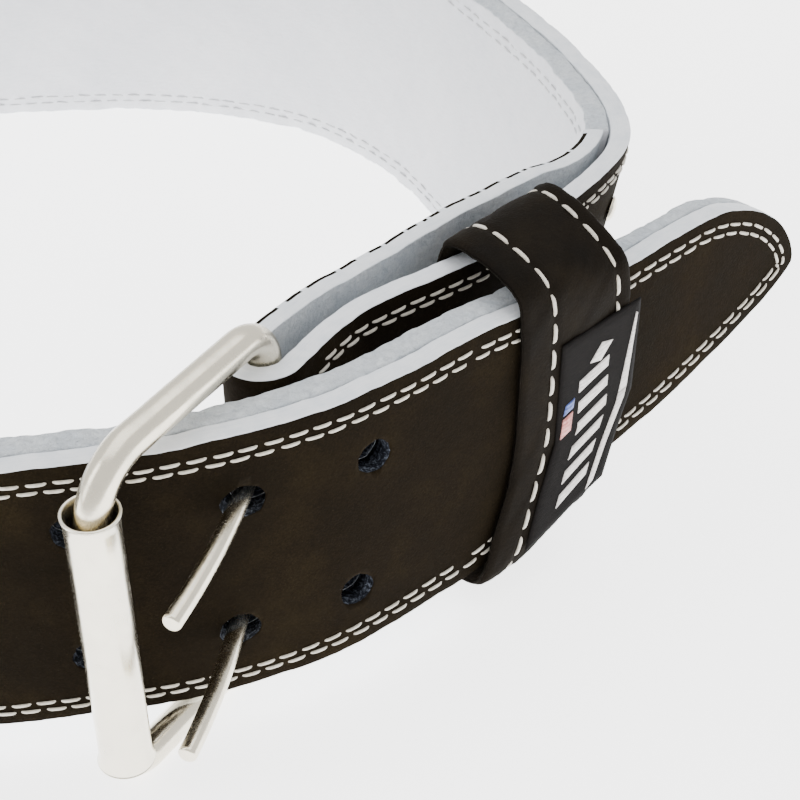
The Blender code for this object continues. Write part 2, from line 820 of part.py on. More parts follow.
def cut_corners(points):
    """Round a closed row of points by cutting each corner once."""
    result = []
    for a, b in zip(points, points[1:] + points[:1]):
        result.append(a.lerp(b, 0.25))
        result.append(a.lerp(b, 0.75))
    return result


def build_keeper(frame, material):
    """Closed leather loop round the strap and the tail."""
    rings = []
    for k in range(KEEPER_STATIONS):
        share = k / (KEEPER_STATIONS - 1)
        u = KEEPER_WIDTH * (share - 0.5)
        middle = cut_corners([frame.turn_point(u, row) for row in KEEPER_ROWS])
        inside = []
        outside = []
        for i, point in enumerate(middle):
            along = middle[(i + 1) % len(middle)] - middle[i - 1]
            normal = Vector((0.0, -along.z, along.y)).normalized() * KEEPER_THICKNESS / 2
            inside.append(frame.world(*(point - normal)))
            outside.append(frame.world(*(point + normal)))
        rings.append((inside, outside))
    body = bmesh.new()
    grid = [[[body.verts.new(p) for p in skin] for skin in pair] for pair in rings]
    count = len(grid[0][0])
    for i in range(count):
        n = (i + 1) % count
        for near, far in zip(grid, grid[1:]):
            for skin in (0, 1):
                body.faces.new((near[skin][i], near[skin][n], far[skin][n], far[skin][i]))
        for end in (grid[0], grid[-1]):
            body.faces.new((end[0][i], end[0][n], end[1][n], end[1][i]))
    return finish_object("keeper_loop", body, material)


def build_label(frame, material):
    """Plain woven patch on the front of the keeper."""
    rows = 9
    columns = 5
    right = KEEPER_WIDTH / 2 + LABEL_OVERHANG
    back = KEEPER_THICKNESS / 2 + TOUCH_GAP
    sheets = []
    for r in range(rows + 1):
        ring_back = []
        ring_front = []
        for c in range(columns + 1):
            u = right - LABEL_WIDTH * (1.0 - c / columns)
            top = STRAP_WIDTH - LABEL_DROP + LABEL_SLOPE * (c / columns - 1.0)
            bottom = frame.tail_edges(u - KEEPER_SKEW)[0] + LABEL_LOW
            place, across, height = frame.front_point(u, bottom + (top - bottom) * r / rows)
            ring_back.append(frame.world(place, across + back, height))
            ring_front.append(frame.world(place, across + back + LABEL_THICKNESS, height))
        sheets.append(ring_back + list(reversed(ring_front)))
    return finish_object("label_patch", loft(sheets), material)


def stand_on_origin():
    """Move every object so that the bounding box stands centred on the origin."""
    bpy.context.view_layer.update()
    shown = [item for item in bpy.data.objects if not item.hide_render]
    corners = [item.matrix_world @ vertex.co for item in shown for vertex in item.data.vertices]
    low = Vector([min(corner[k] for corner in corners) for k in range(3)])
    high = Vector([max(corner[k] for corner in corners) for k in range(3)])
    shift = Vector((-(low.x + high.x) / 2, -(low.y + high.y) / 2, -low.z))
    for item in bpy.data.objects:
        item.location += shift


def main():
    clear_scene()
    skin = make_material("black_nubuck", SKIN_BLACK, 0.85)
    suede = make_material("pale_suede", SUEDE_PALE, 0.95)
    keeper_leather = make_material("keeper_leather", KEEPER_BLACK, 0.85)
    weave = make_material("label_weave", LABEL_BLACK, 0.9)
    nickel = make_material("nickel_wire", NICKEL, 0.28, 1.0)
    stations = make_stations()
    outer = build_outer_strap(stations, skin)
    inner = build_inner_lining(stations, suede)
    cut(outer, [*hole_bodies(stations), *slot_bodies(), *rivet_bodies(stations)], skin)
    cut(inner, hole_bodies(stations), suede)
    build_rivets(stations, nickel)
    build_buckle_frame(nickel)
    build_roller(nickel)
    build_prongs(stations, nickel)
    keeper_frame = KeeperFrame(stations)
    build_keeper(keeper_frame, keeper_leather)
    build_label(keeper_frame, weave)
    stand_on_origin()


main()
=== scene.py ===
import math
import random

import bmesh
import bpy
import numpy as np
from mathutils import Matrix, Vector


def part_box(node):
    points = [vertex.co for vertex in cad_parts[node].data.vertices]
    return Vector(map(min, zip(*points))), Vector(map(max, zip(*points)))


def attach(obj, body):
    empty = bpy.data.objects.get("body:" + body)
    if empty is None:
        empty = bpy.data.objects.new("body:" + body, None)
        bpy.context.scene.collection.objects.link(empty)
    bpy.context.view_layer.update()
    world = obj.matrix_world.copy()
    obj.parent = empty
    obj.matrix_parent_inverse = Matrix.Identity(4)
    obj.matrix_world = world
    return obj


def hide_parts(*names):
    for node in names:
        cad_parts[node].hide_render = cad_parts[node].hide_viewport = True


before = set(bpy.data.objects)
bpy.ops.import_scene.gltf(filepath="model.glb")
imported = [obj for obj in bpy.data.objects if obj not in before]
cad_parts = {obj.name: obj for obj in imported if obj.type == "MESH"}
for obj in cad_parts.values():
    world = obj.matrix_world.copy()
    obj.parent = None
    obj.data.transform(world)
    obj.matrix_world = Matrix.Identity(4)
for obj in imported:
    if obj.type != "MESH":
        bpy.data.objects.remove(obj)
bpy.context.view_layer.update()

MM = 0.001

# Sizes shared with the CAD source
STRAP_WIDTH = 90.0 * MM
OUTER_PLY = 6.3 * MM
INNER_PLY = 7.5 * MM
PLY_GAP = 0.3 * MM
LOOP_WIDTH = 346.0 * MM
LOOP_DEPTH = 352.0 * MM
OVERLAP_SPAN = 100.0 * MM
CORNER_LEAN = math.radians(11.0)
TONGUE_WIDTH = 68.6 * MM
TIP_LENGTH = 50.0 * MM
TIP_BELLY_LENGTH = 90.0 * MM
TIP_POWER = 1.75
TIP_BELLY_POWER = 1.4
TIP_RISE = 2.0 * MM
TAPER_START = 85.0 * MM
TAPER_LENGTH = 65.0 * MM
TONGUE_RISE = 3.2 * MM
BELLY_RISE = 2.6 * MM
BELLY_START = 150.0 * MM
BELLY_LENGTH = 75.0 * MM
TIP_INNER_PLY = 5.0 * MM
PLY_TAPER_LENGTH = 68.0 * MM
HOLE_DIAMETER = 10.4 * MM
HOLE_FROM_TIP = 183.0 * MM
HOLE_PITCH = 40.0 * MM
HOLE_OVERRUN = 1.0 * MM
PRONG_SPACING = 45.0 * MM
PRONG_PAIR = 1
HOLE_FROM_ROOT = 86.4 * MM
WIRE_DIAMETER = 9.4 * MM
BUCKLE_REACH = 72.4 * MM
BUCKLE_ANGLE = math.radians(236.9)
BUCKLE_FOOTROOM = 1.0 * MM
BUCKLE_HEADROOM = 4.6 * MM
REAR_BEND = 6.7 * MM
REAR_UPPER_BEND = 11.0 * MM
FRONT_BEND = 9.0 * MM
FRONT_UPPER_BEND = 17.0 * MM
FOLD_CLEARANCE = 0.6 * MM
FOLD_START = math.radians(-33.0)
ROLLER_DIAMETER = 14.4 * MM
ROLLER_WALL = 1.1 * MM
ROLLER_RIM = 0.7 * MM
ROLLER_RIM_LENGTH = 4.0 * MM
ROLLER_LENGTH = 89.0 * MM
PRONG_DIAMETER = 5.2 * MM
PRONG_SEAT = 1.2 * MM
PRONG_PAST_HOLE = 46.0 * MM
PRONG_BOW = 3.8 * MM
EYE_CLEARANCE = 0.4 * MM
EYE_TURN = math.radians(290.0)
EYE_LEAVE = math.radians(40.0)
EYE_EASE = 6.0 * MM
SLOT_CLEARANCE = 0.7 * MM
SLOT_REACH = 14.0 * MM
FLAP_LENGTH = 157.0 * MM
FLAP_GAP_END = 2.2 * MM
FLAP_BULGE = 14.4 * MM
KEEPER_FROM_FOLD = 79.0 * MM
KEEPER_WIDTH = 43.0 * MM
KEEPER_THICKNESS = 3.6 * MM
KEEPER_SLACK = 1.0 * MM
KEEPER_SKEW = 16.0 * MM
LABEL_THICKNESS = 0.8 * MM
LABEL_WIDTH = 33.0 * MM
LABEL_OVERHANG = 3.0 * MM
LABEL_LOW = 1.0 * MM
LABEL_DROP = 15.0 * MM
LABEL_SLOPE = 0.5 * MM
RIVET_HEAD = 8.4 * MM
RIVET_DOME = 1.7 * MM
RIVET_SHANK = 3.4 * MM
RIVET_FROM_END = 12.0 * MM
RIVET_SPACING = 46.0 * MM
TOUCH_GAP = 0.45 * MM
TAIL_LENGTH = HOLE_FROM_TIP + PRONG_PAIR * HOLE_PITCH - HOLE_FROM_ROOT
LIFT = BUCKLE_FOOTROOM + WIRE_DIAMETER / 2 * (1.0 + math.cos(math.pi / 12))
LIFT_SHARES = (-0.16, 0.22)
TAIL_ROWS = (
    (-0.1592, 0.6054, 0.0),
    (-0.4290, 0.3766, 0.0),
    (-0.6401, 0.2358, 0.0),
    (-0.9307, 0.1162, 0.0),
    (-1.2318, 0.0458, 0.0),
)
LOOP_ROWS = (
    (0.000, -0.500, 0.0),
    (-0.173, -0.472, 0.0),
    (-0.324, -0.366, 0.0),
    (-0.413, -0.204, 0.0),
    (-0.436, 0.000, 0.0),
    (-0.413, 0.212, 0.0),
    (-0.328, 0.398, 0.0),
    (-0.173, 0.519, 0.0),
    (0.004, 0.547, 0.1),
    (0.158, 0.538, 0.3),
    (0.306, 0.484, 0.5),
    (0.416, 0.383, 0.75),
    (0.481, 0.270, 0.9),
    (0.529, 0.165, 1.0),
    (0.559, 0.057, 1.0),
    (0.565, -0.017, 1.0),
    (0.555, -0.068, 0.95),
    (0.523, -0.128, 0.8),
    (0.477, -0.187, 0.62),
    (0.434, -0.233, 0.45),
)
STRAP_END_ROWS = (
    (-0.4394, 0.7603, 0.2),
    (-0.5605, 0.6406, 0.08),
)
REAR_BAR = (-0.7899, 0.4851)
TAIL_DIRECTION = math.radians(42.9)
PRONG_HEADINGS = (math.radians(-98.0), math.radians(-103.0))
HOLE_ROWS = (
    (0.125, -0.05),
    (0.005, -0.0875),
    (0.018, 0.035),
    (0.0, 0.0),
    (0.0, 0.0),
    (0.0, 0.0),
)
FLAP_ROWS = (
    (0.00, 0.0, 0.0),
    (0.13, -0.6, 0.0),
    (0.23, -0.7, 0.0),
    (0.33, 0.0, 0.0),
    (0.43, 0.7, 0.0),
    (0.54, 1.0, 0.0),
    (0.66, 0.7, 0.08),
    (0.77, 0.35, 0.2),
    (0.85, 0.0, 0.72),
    (0.90, 0.0, 0.84),
    (1.00, 0.0, 1.0),
)
KEEPER_ROWS = (
    (0.00, 0.02, -0.50),
    (0.00, 0.20, -0.25),
    (0.00, 0.80, 0.25),
    (0.00, 0.97, 0.40),
    (0.07, 1.04, 0.35),
    (0.28, 1.08, 0.25),
    (0.62, 1.09, 0.10),
    (0.90, 1.07, 0.00),
    (1.01, 1.01, 0.00),
    (1.01, 0.80, 0.00),
    (1.00, 0.40, -0.05),
    (1.01, 0.22, -0.45),
    (1.03, 0.01, -0.90),
    (0.94, -0.03, -1.00),
    (0.60, -0.03, -0.95),
    (0.25, -0.025, -0.80),
    (0.04, -0.02, -0.60),
)

# Detail that only the scene has
STEP = 1.6 * MM
PLAN_POINTS = 1600
PLAN_REACH = 3
WAVE_PARTS = 9
CORNER_STEPS = 3
OUTER_CORNER = 0.45 * MM
OUTER_CROWN = 0.25 * MM
OUTER_WAVER = 0.28 * MM
INNER_CORNER = 0.9 * MM
INNER_CROWN = 0.35 * MM
INNER_WAVER = 0.35 * MM
EDGE_LINE_WAVE = 9.0 * MM
STITCH_LENGTH = 5.7 * MM
STITCH_GAP = 1.1 * MM
STITCH_PITCH = STITCH_LENGTH + STITCH_GAP
STITCH_JITTER = 0.18 * MM
THREAD = 0.95 * MM
TIP_STITCHES = (4.6 * MM, 7.6 * MM)
TOP_STITCHES = (5.2 * MM, 7.9 * MM)
BOTTOM_STITCHES = (4.2 * MM, 6.9 * MM)
STITCH_BLEND = 60 * MM
KEEPER_STITCHES = (10.5 * MM, 6.0 * MM)
KEEPER_STITCH_LENGTH = 6.9 * MM
KEEPER_STITCH_PITCH = 9.2 * MM
KEEPER_GROOVE = 0.45 * MM
KEEPER_CROWN = 0.35 * MM
KEEPER_PUFF = 0.25 * MM
KEEPER_ROUND = 1.4 * MM
KEEPER_WAVER = 0.22 * MM
LABEL_BACK = KEEPER_THICKNESS / 2 + TOUCH_GAP
WIRE_SIDES = 40
ROLLER_SIDES = 96
PRONG_SIDES = 32
PRONG_ROUND = 0.9 * MM
RIVET_SIDES = 48

# Stage
FLOOR_GLOW = 3.0
WORLD_STRENGTH = 1.3
CAMERA_PITCH = math.radians(38.45)
CAMERA_ROLL = math.radians(-0.98)
CAMERA_PLACE = (0.13, -0.5415, 0.4023)
FOCAL_PIXELS = 1948.16
PICTURE_PIXELS = 800.0
SENSOR_WIDTH = 36.0


# Plan of the strap

def smoothstep(share):
    share = np.clip(share, 0.0, 1.0)
    return share * share * (3.0 - 2.0 * share)


def column(rows, share, index):
    """One column of a table read at shares of its first column."""
    table = np.array(rows)
    return np.interp(share, table[:, 0], table[:, index])


def lift_at(y):
    """Height of the strap's lower edge over the floor at depth y."""
    front, back = (share * LOOP_DEPTH for share in LIFT_SHARES)
    return LIFT * (1.0 - smoothstep((y - front) / (back - front)))


def overlap_place(x, y):
    return LOOP_WIDTH / 2 + x * OVERLAP_SPAN, y * OVERLAP_SPAN - LOOP_DEPTH / 2


def heading(angle):
    return np.array((math.cos(angle), math.sin(angle)))


def unit_rows(vectors):
    return vectors / np.linalg.norm(vectors, axis=1)[:, None]


def distances(points):
    """Distance walked along a line of points, from zero."""
    return np.concatenate([[0.0], np.cumsum(np.linalg.norm(np.diff(points, axis=0), axis=1))])


def read_along(places, walked, values):
    """Rows of values read at places along a walked line."""
    return np.stack([np.interp(places, walked, column) for column in values.T], axis=1)


def line_directions(points, closed=False):
    """Unit directions along a line of points, each from the point's two neighbours."""
    if closed:
        return unit_rows(np.roll(points, -1, axis=0) - np.roll(points, 1, axis=0))
    return unit_rows(np.vstack([points[1:], points[-1:]]) - np.vstack([points[:1], points[:-1]]))


REAR = np.array(overlap_place(*REAR_BAR))
FOLD_RADIUS = WIRE_DIAMETER / 2 + FOLD_CLEARANCE + OUTER_PLY
AWAY = heading(BUCKLE_ANGLE)
LOW_BAR = -BUCKLE_FOOTROOM - WIRE_DIAMETER / 2
HIGH_BAR = STRAP_WIDTH + BUCKLE_HEADROOM + WIRE_DIAMETER / 2
FRONT = REAR + AWAY * BUCKLE_REACH
roller_low, roller_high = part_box("roller")
ROLLER_CENTRE = np.array([(low + high) / 2 for low, high in zip(roller_low, roller_high)])
SHIFT = ROLLER_CENTRE[:2] - FRONT


def plan_rows():
    """Control points (x, y, lean) of the outer skin from the tail tip to the fold."""
    overlap = [(*overlap_place(x, y), lean * CORNER_LEAN) for x, y, lean in TAIL_ROWS]
    loop = [(x * LOOP_WIDTH, y * LOOP_DEPTH, lean * CORNER_LEAN) for x, y, lean in LOOP_ROWS]
    ending = [(*overlap_place(x, y), lean * CORNER_LEAN) for x, y, lean in STRAP_END_ROWS]
    root = np.array(overlap[0])
    away = np.array((*heading(TAIL_DIRECTION), 0.0))
    tail = [root + away * TAIL_LENGTH * share for share in (1.0, 0.75, 0.5, 0.25)]
    start = REAR + FOLD_RADIUS * heading(FOLD_START)
    return np.array([*tail, *overlap, *loop, *ending, (start[0], start[1], 0.0)])


def curve_through(rows, steps):
    """Catmull-Rom curve through the rows."""
    padded = np.vstack([rows[:1], rows, rows[-1:]])
    t = (np.arange(steps) / steps)[:, None]
    parts = []
    for a, b, c, d in zip(padded, padded[1:], padded[2:], padded[3:]):
        parts.append(0.5 * (2 * b + (c - a) * t + (2 * a - 5 * b + 4 * c - d) * t ** 2
                            + (3 * b - a - 3 * c + d) * t ** 3))
    return np.vstack([*parts, rows[-1:]])


class Plan:
    """The skin line in plan, read by distance from the tail tip."""

    def __init__(self):
        fine = curve_through(plan_rows(), 12)
        walked = distances(fine[:, :2])
        self.end = walked[-1]
        self.s = np.linspace(0.0, self.end, PLAN_POINTS)
        self.values = read_along(self.s, walked, fine)
        ahead = np.minimum(np.arange(PLAN_POINTS) + PLAN_REACH, PLAN_POINTS - 1)
        behind = np.maximum(np.arange(PLAN_POINTS) - PLAN_REACH, 0)
        self.along = unit_rows(self.values[ahead, :2] - self.values[behind, :2])

    def read(self, s):
        """Plan point, lean and inward normal at distances from the tip."""
        x, y, lean = (np.interp(s, self.s, self.values[:, k]) for k in range(3))
        ax, ay = (np.interp(s, self.s, self.along[:, k]) for k in range(2))
        return x, y, lean, -ay, ax


plan = Plan()
END = plan.end


def wall(s, inward, height):
    """World points of the wall by distance from the tip, depth from the skin and height."""
    s, inward, height = np.broadcast_arrays(s, inward, height)
    x, y, lean, nx, ny = plan.read(s)
    return stand(x, y, nx, ny, lean, inward, height)


def stand(x, y, nx, ny, lean, inward, height):
    """World points from plan points, normals, lean, depth from the skin and height."""
    outward = (height - STRAP_WIDTH / 2) * np.tan(lean) - inward
    px = x + nx * outward
    py = y + ny * outward
    return np.stack([px + SHIFT[0], py + SHIFT[1], height + lift_at(py)], axis=-1)


def tip_share(s, length, power):
    """Share of an edge's full distance from the tip's height, rising to one over a length."""
    left = 1.0 - np.clip(s / length, 0.0, 1.0)
    return (1.0 - left ** power) ** (1.0 / power)


def strap_edges(s):
    """Lower and upper edge of the strap at a distance from the tail tip."""
    taper = smoothstep((s - TAPER_START) / TAPER_LENGTH)
    half = (TONGUE_WIDTH + (STRAP_WIDTH - TONGUE_WIDTH) * taper) / 2
    middle = STRAP_WIDTH / 2 + TONGUE_RISE * (1.0 - taper)
    belly = BELLY_RISE * (1.0 - smoothstep((s - BELLY_START) / BELLY_LENGTH))
    tip = STRAP_WIDTH / 2 + TIP_RISE
    low = tip + (middle - half + belly - tip) * tip_share(s, TIP_BELLY_LENGTH, TIP_BELLY_POWER)
    high = tip + (middle + half - tip) * tip_share(s, TIP_LENGTH, TIP_POWER)
    return low, high


def inner_ply_at(s):
    return TIP_INNER_PLY + (INNER_PLY - TIP_INNER_PLY) * smoothstep((s - TIP_LENGTH) / PLY_TAPER_LENGTH)


def flap_gap(share):
    """Space between the strap and the flap at a share of the flap's length from the fold."""
    fold_gap = WIRE_DIAMETER + 2 * FOLD_CLEARANCE
    bulged = fold_gap + (FLAP_BULGE - fold_gap) * column(FLAP_ROWS, share, 1)
    return bulged + (FLAP_GAP_END - bulged) * column(FLAP_ROWS, share, 2)


# Meshes

def new_object(name, verts, faces, materials, face_slots=None, uvs=None, solid=True):
    """Link a mesh object. A solid one is smooth and its faces are turned outwards."""
    mesh = bpy.data.meshes.new(name)
    mesh.from_pydata(np.asarray(verts, float).tolist(), [], [list(map(int, f)) for f in faces])
    for material in materials:
        mesh.materials.append(material)
    if face_slots is not None:
        mesh.polygons.foreach_set("material_index", np.asarray(face_slots, np.int32))
    if uvs:
        loops = np.zeros(len(mesh.loops), np.int32)
        mesh.loops.foreach_get("vertex_index", loops)
        for label, values in uvs.items():
            layer = mesh.uv_layers.new(name=label)
            layer.data.foreach_set("uv", np.asarray(values, np.float32)[loops].ravel())
    if solid:
        mesh.shade_smooth()
    mesh.validate()
    mesh.update()
    if solid:
        turned = bmesh.new()
        turned.from_mesh(mesh)
        bmesh.ops.recalc_face_normals(turned, faces=turned.faces)
        turned.to_mesh(mesh)
        turned.free()
        mesh.update()
    piece = bpy.data.objects.new(name, mesh)
    bpy.context.scene.collection.objects.link(piece)
    return piece


def grid_faces(rows, columns, wrap=False):
    """Quads of a grid of points stored row by row."""
    faces = []
    across = columns if wrap else columns - 1
    for r in range(rows - 1):
        for c in range(across):
            n = (c + 1) % columns
            faces.append((r * columns + c, r * columns + n, (r + 1) * columns + n, (r + 1) * columns + c))
    return faces


def ring_faces(rows, columns):
    """Quads of a grid that closes both ways."""
    last = (rows - 1) * columns
    closing = [(last + c, last + (c + 1) % columns, (c + 1) % columns, c) for c in range(columns)]
    return grid_faces(rows, columns, wrap=True) + closing


def rod_faces(rows, columns):
    """Quads of rings in a row, with a face over each end."""
    ends = [list(range(columns))[::-1], list(range((rows - 1) * columns, rows * columns))]
    return grid_faces(rows, columns, wrap=True) + ends


def tube(points, radius, sides, normal, closed=False):
    """Rings of a round bar along a path in one plane."""
    points = np.asarray(points, float)
    tangent = line_directions(points, closed)
    side = unit_rows(np.cross(tangent, normal))
    up = np.cross(side, tangent)
    radius = np.broadcast_to(radius, (len(points),))
    angle = 2 * math.pi * (np.arange(sides) + 0.5) / sides
    ring = np.cos(angle)[None, :, None] * side[:, None, :] + np.sin(angle)[None, :, None] * up[:, None, :]
    return (points[:, None, :] + radius[:, None, None] * ring).reshape(-1, 3)


def noise_wave(values, scale, seed):
    """Smooth repeatable wave in -1..1 along an array of distances."""
    state = random.Random(seed)
    total = np.zeros(np.shape(values))
    weight = 0.0
    for k in range(WAVE_PARTS):
        size = scale * 0.62 ** k
        phase = state.uniform(0, 2 * math.pi)
        strength = 0.75 ** k
        total = total + strength * np.sin(2 * math.pi * np.asarray(values) / size + phase)
        weight += strength
    return total / weight * 1.8


# Materials

class Nodes:
    """A short way to write node trees."""

    def __init__(self, name):
        self.material = bpy.data.materials.new(name)
        self.material.use_nodes = True
        self.tree = self.material.node_tree
        self.shader = self.tree.nodes["Principled BSDF"]

    def add(self, kind, links=None, **settings):
        node = self.tree.nodes.new(kind)
        for key, value in settings.items():
            setattr(node, key, value)
        for key, value in (links or {}).items():
            self.put(node, key, value)
        return node

    def put(self, node, key, value):
        socket = node.inputs[key]
        if isinstance(value, bpy.types.NodeSocket):
            self.tree.links.new(value, socket)
        else:
            socket.default_value = value

    def object_place(self):
        return self.add("ShaderNodeTexCoord").outputs["Object"]

    def uv(self, layer):
        return self.add("ShaderNodeUVMap", uv_map=layer).outputs["UV"]

    def scaled(self, vector, scale):
        return self.add("ShaderNodeMapping", {"Vector": vector, "Scale": scale}).outputs["Vector"]

    def noise(self, vector, scale, detail=4.0, rough=0.55, distortion=0.0):
        node = self.add("ShaderNodeTexNoise", {"Vector": vector, "Scale": scale, "Detail": detail,
                                               "Roughness": rough, "Distortion": distortion})
        return node.outputs["Fac"]

    def ramp(self, fac, stops):
        node = self.add("ShaderNodeValToRGB", {"Fac": fac})
        ramp = node.color_ramp
        while len(ramp.elements) > 1:
            ramp.elements.remove(ramp.elements[-1])
        ramp.elements[0].position = stops[0][0]
        ramp.elements[0].color = (*stops[0][1], 1.0)
        for place, color in stops[1:]:
            ramp.elements.new(place).color = (*color, 1.0)
        return node.outputs["Color"]

    def shades(self, fac, *stops):
        """Ramp through stops of a place and a 0-255 display colour."""
        return self.ramp(fac, [(place, linear(*color)) for place, *color in stops])

    def span(self, value, low, high, to_low=0.0, to_high=1.0):
        return self.add("ShaderNodeMapRange", {0: value, 1: low, 2: high, 3: to_low, 4: to_high}).outputs[0]

    def math(self, operation, a, b=0.0):
        return self.add("ShaderNodeMath", {0: a, 1: b}, operation=operation).outputs[0]

    def mix(self, fac, a, b, blend="MIX"):
        node = self.add("ShaderNodeMix", data_type="RGBA", blend_type=blend)
        self.put(node, 0, fac)
        self.put(node, 6, a)
        self.put(node, 7, b)
        return node.outputs[2]

    def bump(self, height, strength, distance, normal=None):
        links = {"Height": height, "Strength": strength, "Distance": distance}
        if normal is not None:
            links["Normal"] = normal
        return self.add("ShaderNodeBump", links).outputs["Normal"]

    def set(self, **values):
        for key, value in values.items():
            self.put(self.shader, key.replace("_", " "), value)
        return self.material


def linear(r, g, b):
    """Linear colour from 0-255 display values."""
    return tuple((v / 255 / 12.92 if v <= 10 else ((v / 255 + 0.055) / 1.055) ** 2.4) for v in (r, g, b))


def nubuck(name, dark, mid, light):
    """Brushed black leather: fine nap, pale specks and soft mottling."""
    n = Nodes(name)
    place = n.object_place()
    cloud = n.noise(place, 38.0, 5.0, 0.6)
    grain = n.noise(place, 1500.0, 3.0, 0.6)
    fleck = n.noise(place, 2600.0, 2.0, 0.5)
    shade = n.ramp(grain, [(0.30, (0.66, 0.66, 0.66)), (0.55, (1.0, 1.0, 1.0)), (0.75, (1.35, 1.33, 1.3))])
    specks = n.ramp(fleck, [(0.70, (0.0, 0.0, 0.0)), (0.80, (0.026, 0.021, 0.014))])
    tone = n.mix(1.0, n.shades(cloud, (0.30, *dark), (0.52, *mid), (0.74, *light)), shade, "MULTIPLY")
    folds = n.noise(place, 240.0, 4.0, 0.6)
    return n.set(Base_Color=n.mix(1.0, tone, specks, "ADD"), Roughness=n.span(cloud, 0.3, 0.7, 0.72, 0.88),
                 Normal=n.bump(folds, 0.35, 0.0007, n.bump(grain, 0.55, 0.00035)), Specular_IOR_Level=0.02,
                 Sheen_Weight=0.02, Sheen_Roughness=0.5, Sheen_Tint=(0.75, 0.6, 0.4, 1.0))


def cut_edge(name):
    """Smooth white cut edge of the outer ply, with faint lengthwise fibres."""
    n = Nodes(name)
    fibre = n.noise(n.scaled(n.uv("layer"), (120.0, 2200.0, 1.0)), 1.0, 4.0, 0.6)
    cloud = n.noise(n.object_place(), 160.0, 4.0, 0.6)
    tone = n.shades(fibre, (0.30, 214, 219, 225), (0.55, 232, 235, 239), (0.8, 240, 241, 243))
    tone = n.mix(0.5, tone, n.shades(cloud, (0.30, 206, 213, 221), (0.6, 236, 238, 241)))
    return n.set(Base_Color=tone, Normal=n.bump(fibre, 0.35, 0.0005, n.bump(cloud, 0.3, 0.001)),
                 Roughness=0.7, Specular_IOR_Level=0.3)


def raw_suede(name):
    """Fuzzy cut edge and flesh side of the inner ply: bluish, matted, with dark pores."""
    n = Nodes(name)
    place = n.object_place()
    matt = n.noise(place, 420.0, 6.0, 0.72, 0.6)
    fine = n.noise(place, 1700.0, 4.0, 0.7)
    cloud = n.noise(place, 90.0, 3.0, 0.6)
    tone = n.shades(matt, (0.26, 128, 138, 148), (0.40, 184, 193, 202), (0.56, 214, 221, 227),
                    (0.75, 232, 236, 239))
    tone = n.mix(0.35, tone, n.shades(fine, (0.3, 140, 149, 159), (0.55, 226, 231, 235)))
    tone = n.mix(0.25, tone, n.shades(cloud, (0.35, 178, 190, 203), (0.6, 236, 239, 241)))
    return n.set(Base_Color=tone, Normal=n.bump(fine, 0.7, 0.0006, n.bump(matt, 0.9, 0.0016)),
                 Roughness=0.95, Specular_IOR_Level=0.15, Sheen_Weight=0.35, Sheen_Roughness=0.6)


def inner_suede(name):
    """Smooth pale inner face: fine nap with a faint lengthwise brushing."""
    n = Nodes(name)
    brush = n.noise(n.scaled(n.uv("place"), (260.0, 900.0, 1.0)), 1.0, 4.0, 0.65)
    nap = n.noise(n.object_place(), 1300.0, 4.0, 0.65)
    cloud = n.noise(n.object_place(), 26.0, 4.0, 0.6)
    tone = n.shades(brush, (0.3, 216, 218, 223), (0.6, 228, 229, 232), (0.8, 236, 236, 238))
    tone = n.mix(0.5, tone, n.shades(cloud, (0.3, 212, 214, 220), (0.7, 233, 233, 236)))
    return n.set(Base_Color=tone, Normal=n.bump(nap, 0.35, 0.0004, n.bump(brush, 0.25, 0.0006)),
                 Roughness=0.92, Specular_IOR_Level=0.15, Sheen_Weight=0.3, Sheen_Roughness=0.55)


def hole_fibres_and_shade(name):
    """Bluish fibres of a punched hole, darkened with painted shade of the hole's inside."""
    n = Nodes(name)
    matt = n.noise(n.object_place(), 900.0, 5.0, 0.7, 0.5)
    # painted shade: the dark stops darken the cut walls as if in shadow; only the pale bluish stop is the fibres'
    # own colour
    tone = n.shades(matt, (0.32, 12, 11, 12), (0.5, 36, 39, 46), (0.72, 118, 125, 137))
    return n.set(Base_Color=tone, Normal=n.bump(matt, 0.8, 0.0009), Roughness=0.95, Specular_IOR_Level=0.03)


def thread(name, color, shade):
    """Waxed thread with its twist."""
    n = Nodes(name)
    twist = n.add("ShaderNodeTexWave", {"Vector": n.uv("place"), "Scale": 1.0, "Distortion": 0.0},
                  wave_type="BANDS", bands_direction="DIAGONAL").outputs["Fac"]
    worn = n.noise(n.object_place(), 500.0, 4.0, 0.6)
    tone = n.mix(n.span(worn, 0.35, 0.7), (*linear(*shade), 1.0), (*linear(*color), 1.0))
    return n.set(Base_Color=tone, Normal=n.bump(twist, 0.5, 0.0002), Roughness=0.6, Specular_IOR_Level=0.35,
                 Sheen_Weight=0.2)


def keeper_leather(name):
    """Softer black leather of the keeper, with a fine pebbled grain."""
    n = Nodes(name)
    place = n.object_place()
    cloud = n.noise(place, 55.0, 4.0, 0.6)
    grain = n.add("ShaderNodeTexVoronoi", {"Vector": place, "Scale": 1500.0}, feature="F1").outputs["Distance"]
    fine = n.ramp(n.noise(place, 2400.0, 3.0, 0.6), [(0.3, (0.72, 0.72, 0.72)), (0.7, (1.25, 1.25, 1.25))])
    tone = n.shades(cloud, (0.3, 14, 11, 8), (0.55, 21, 17, 12), (0.8, 31, 26, 19))
    folds = n.bump(n.noise(place, 300.0, 4.0, 0.6), 0.3, 0.0008)
    return n.set(Base_Color=n.mix(1.0, tone, fine, "MULTIPLY"), Roughness=n.span(cloud, 0.3, 0.7, 0.66, 0.82),
                 Normal=n.bump(grain, 0.25, 0.0004, folds), Specular_IOR_Level=0.04, Sheen_Weight=0.015,
                 Sheen_Tint=(0.7, 0.62, 0.5, 1.0))


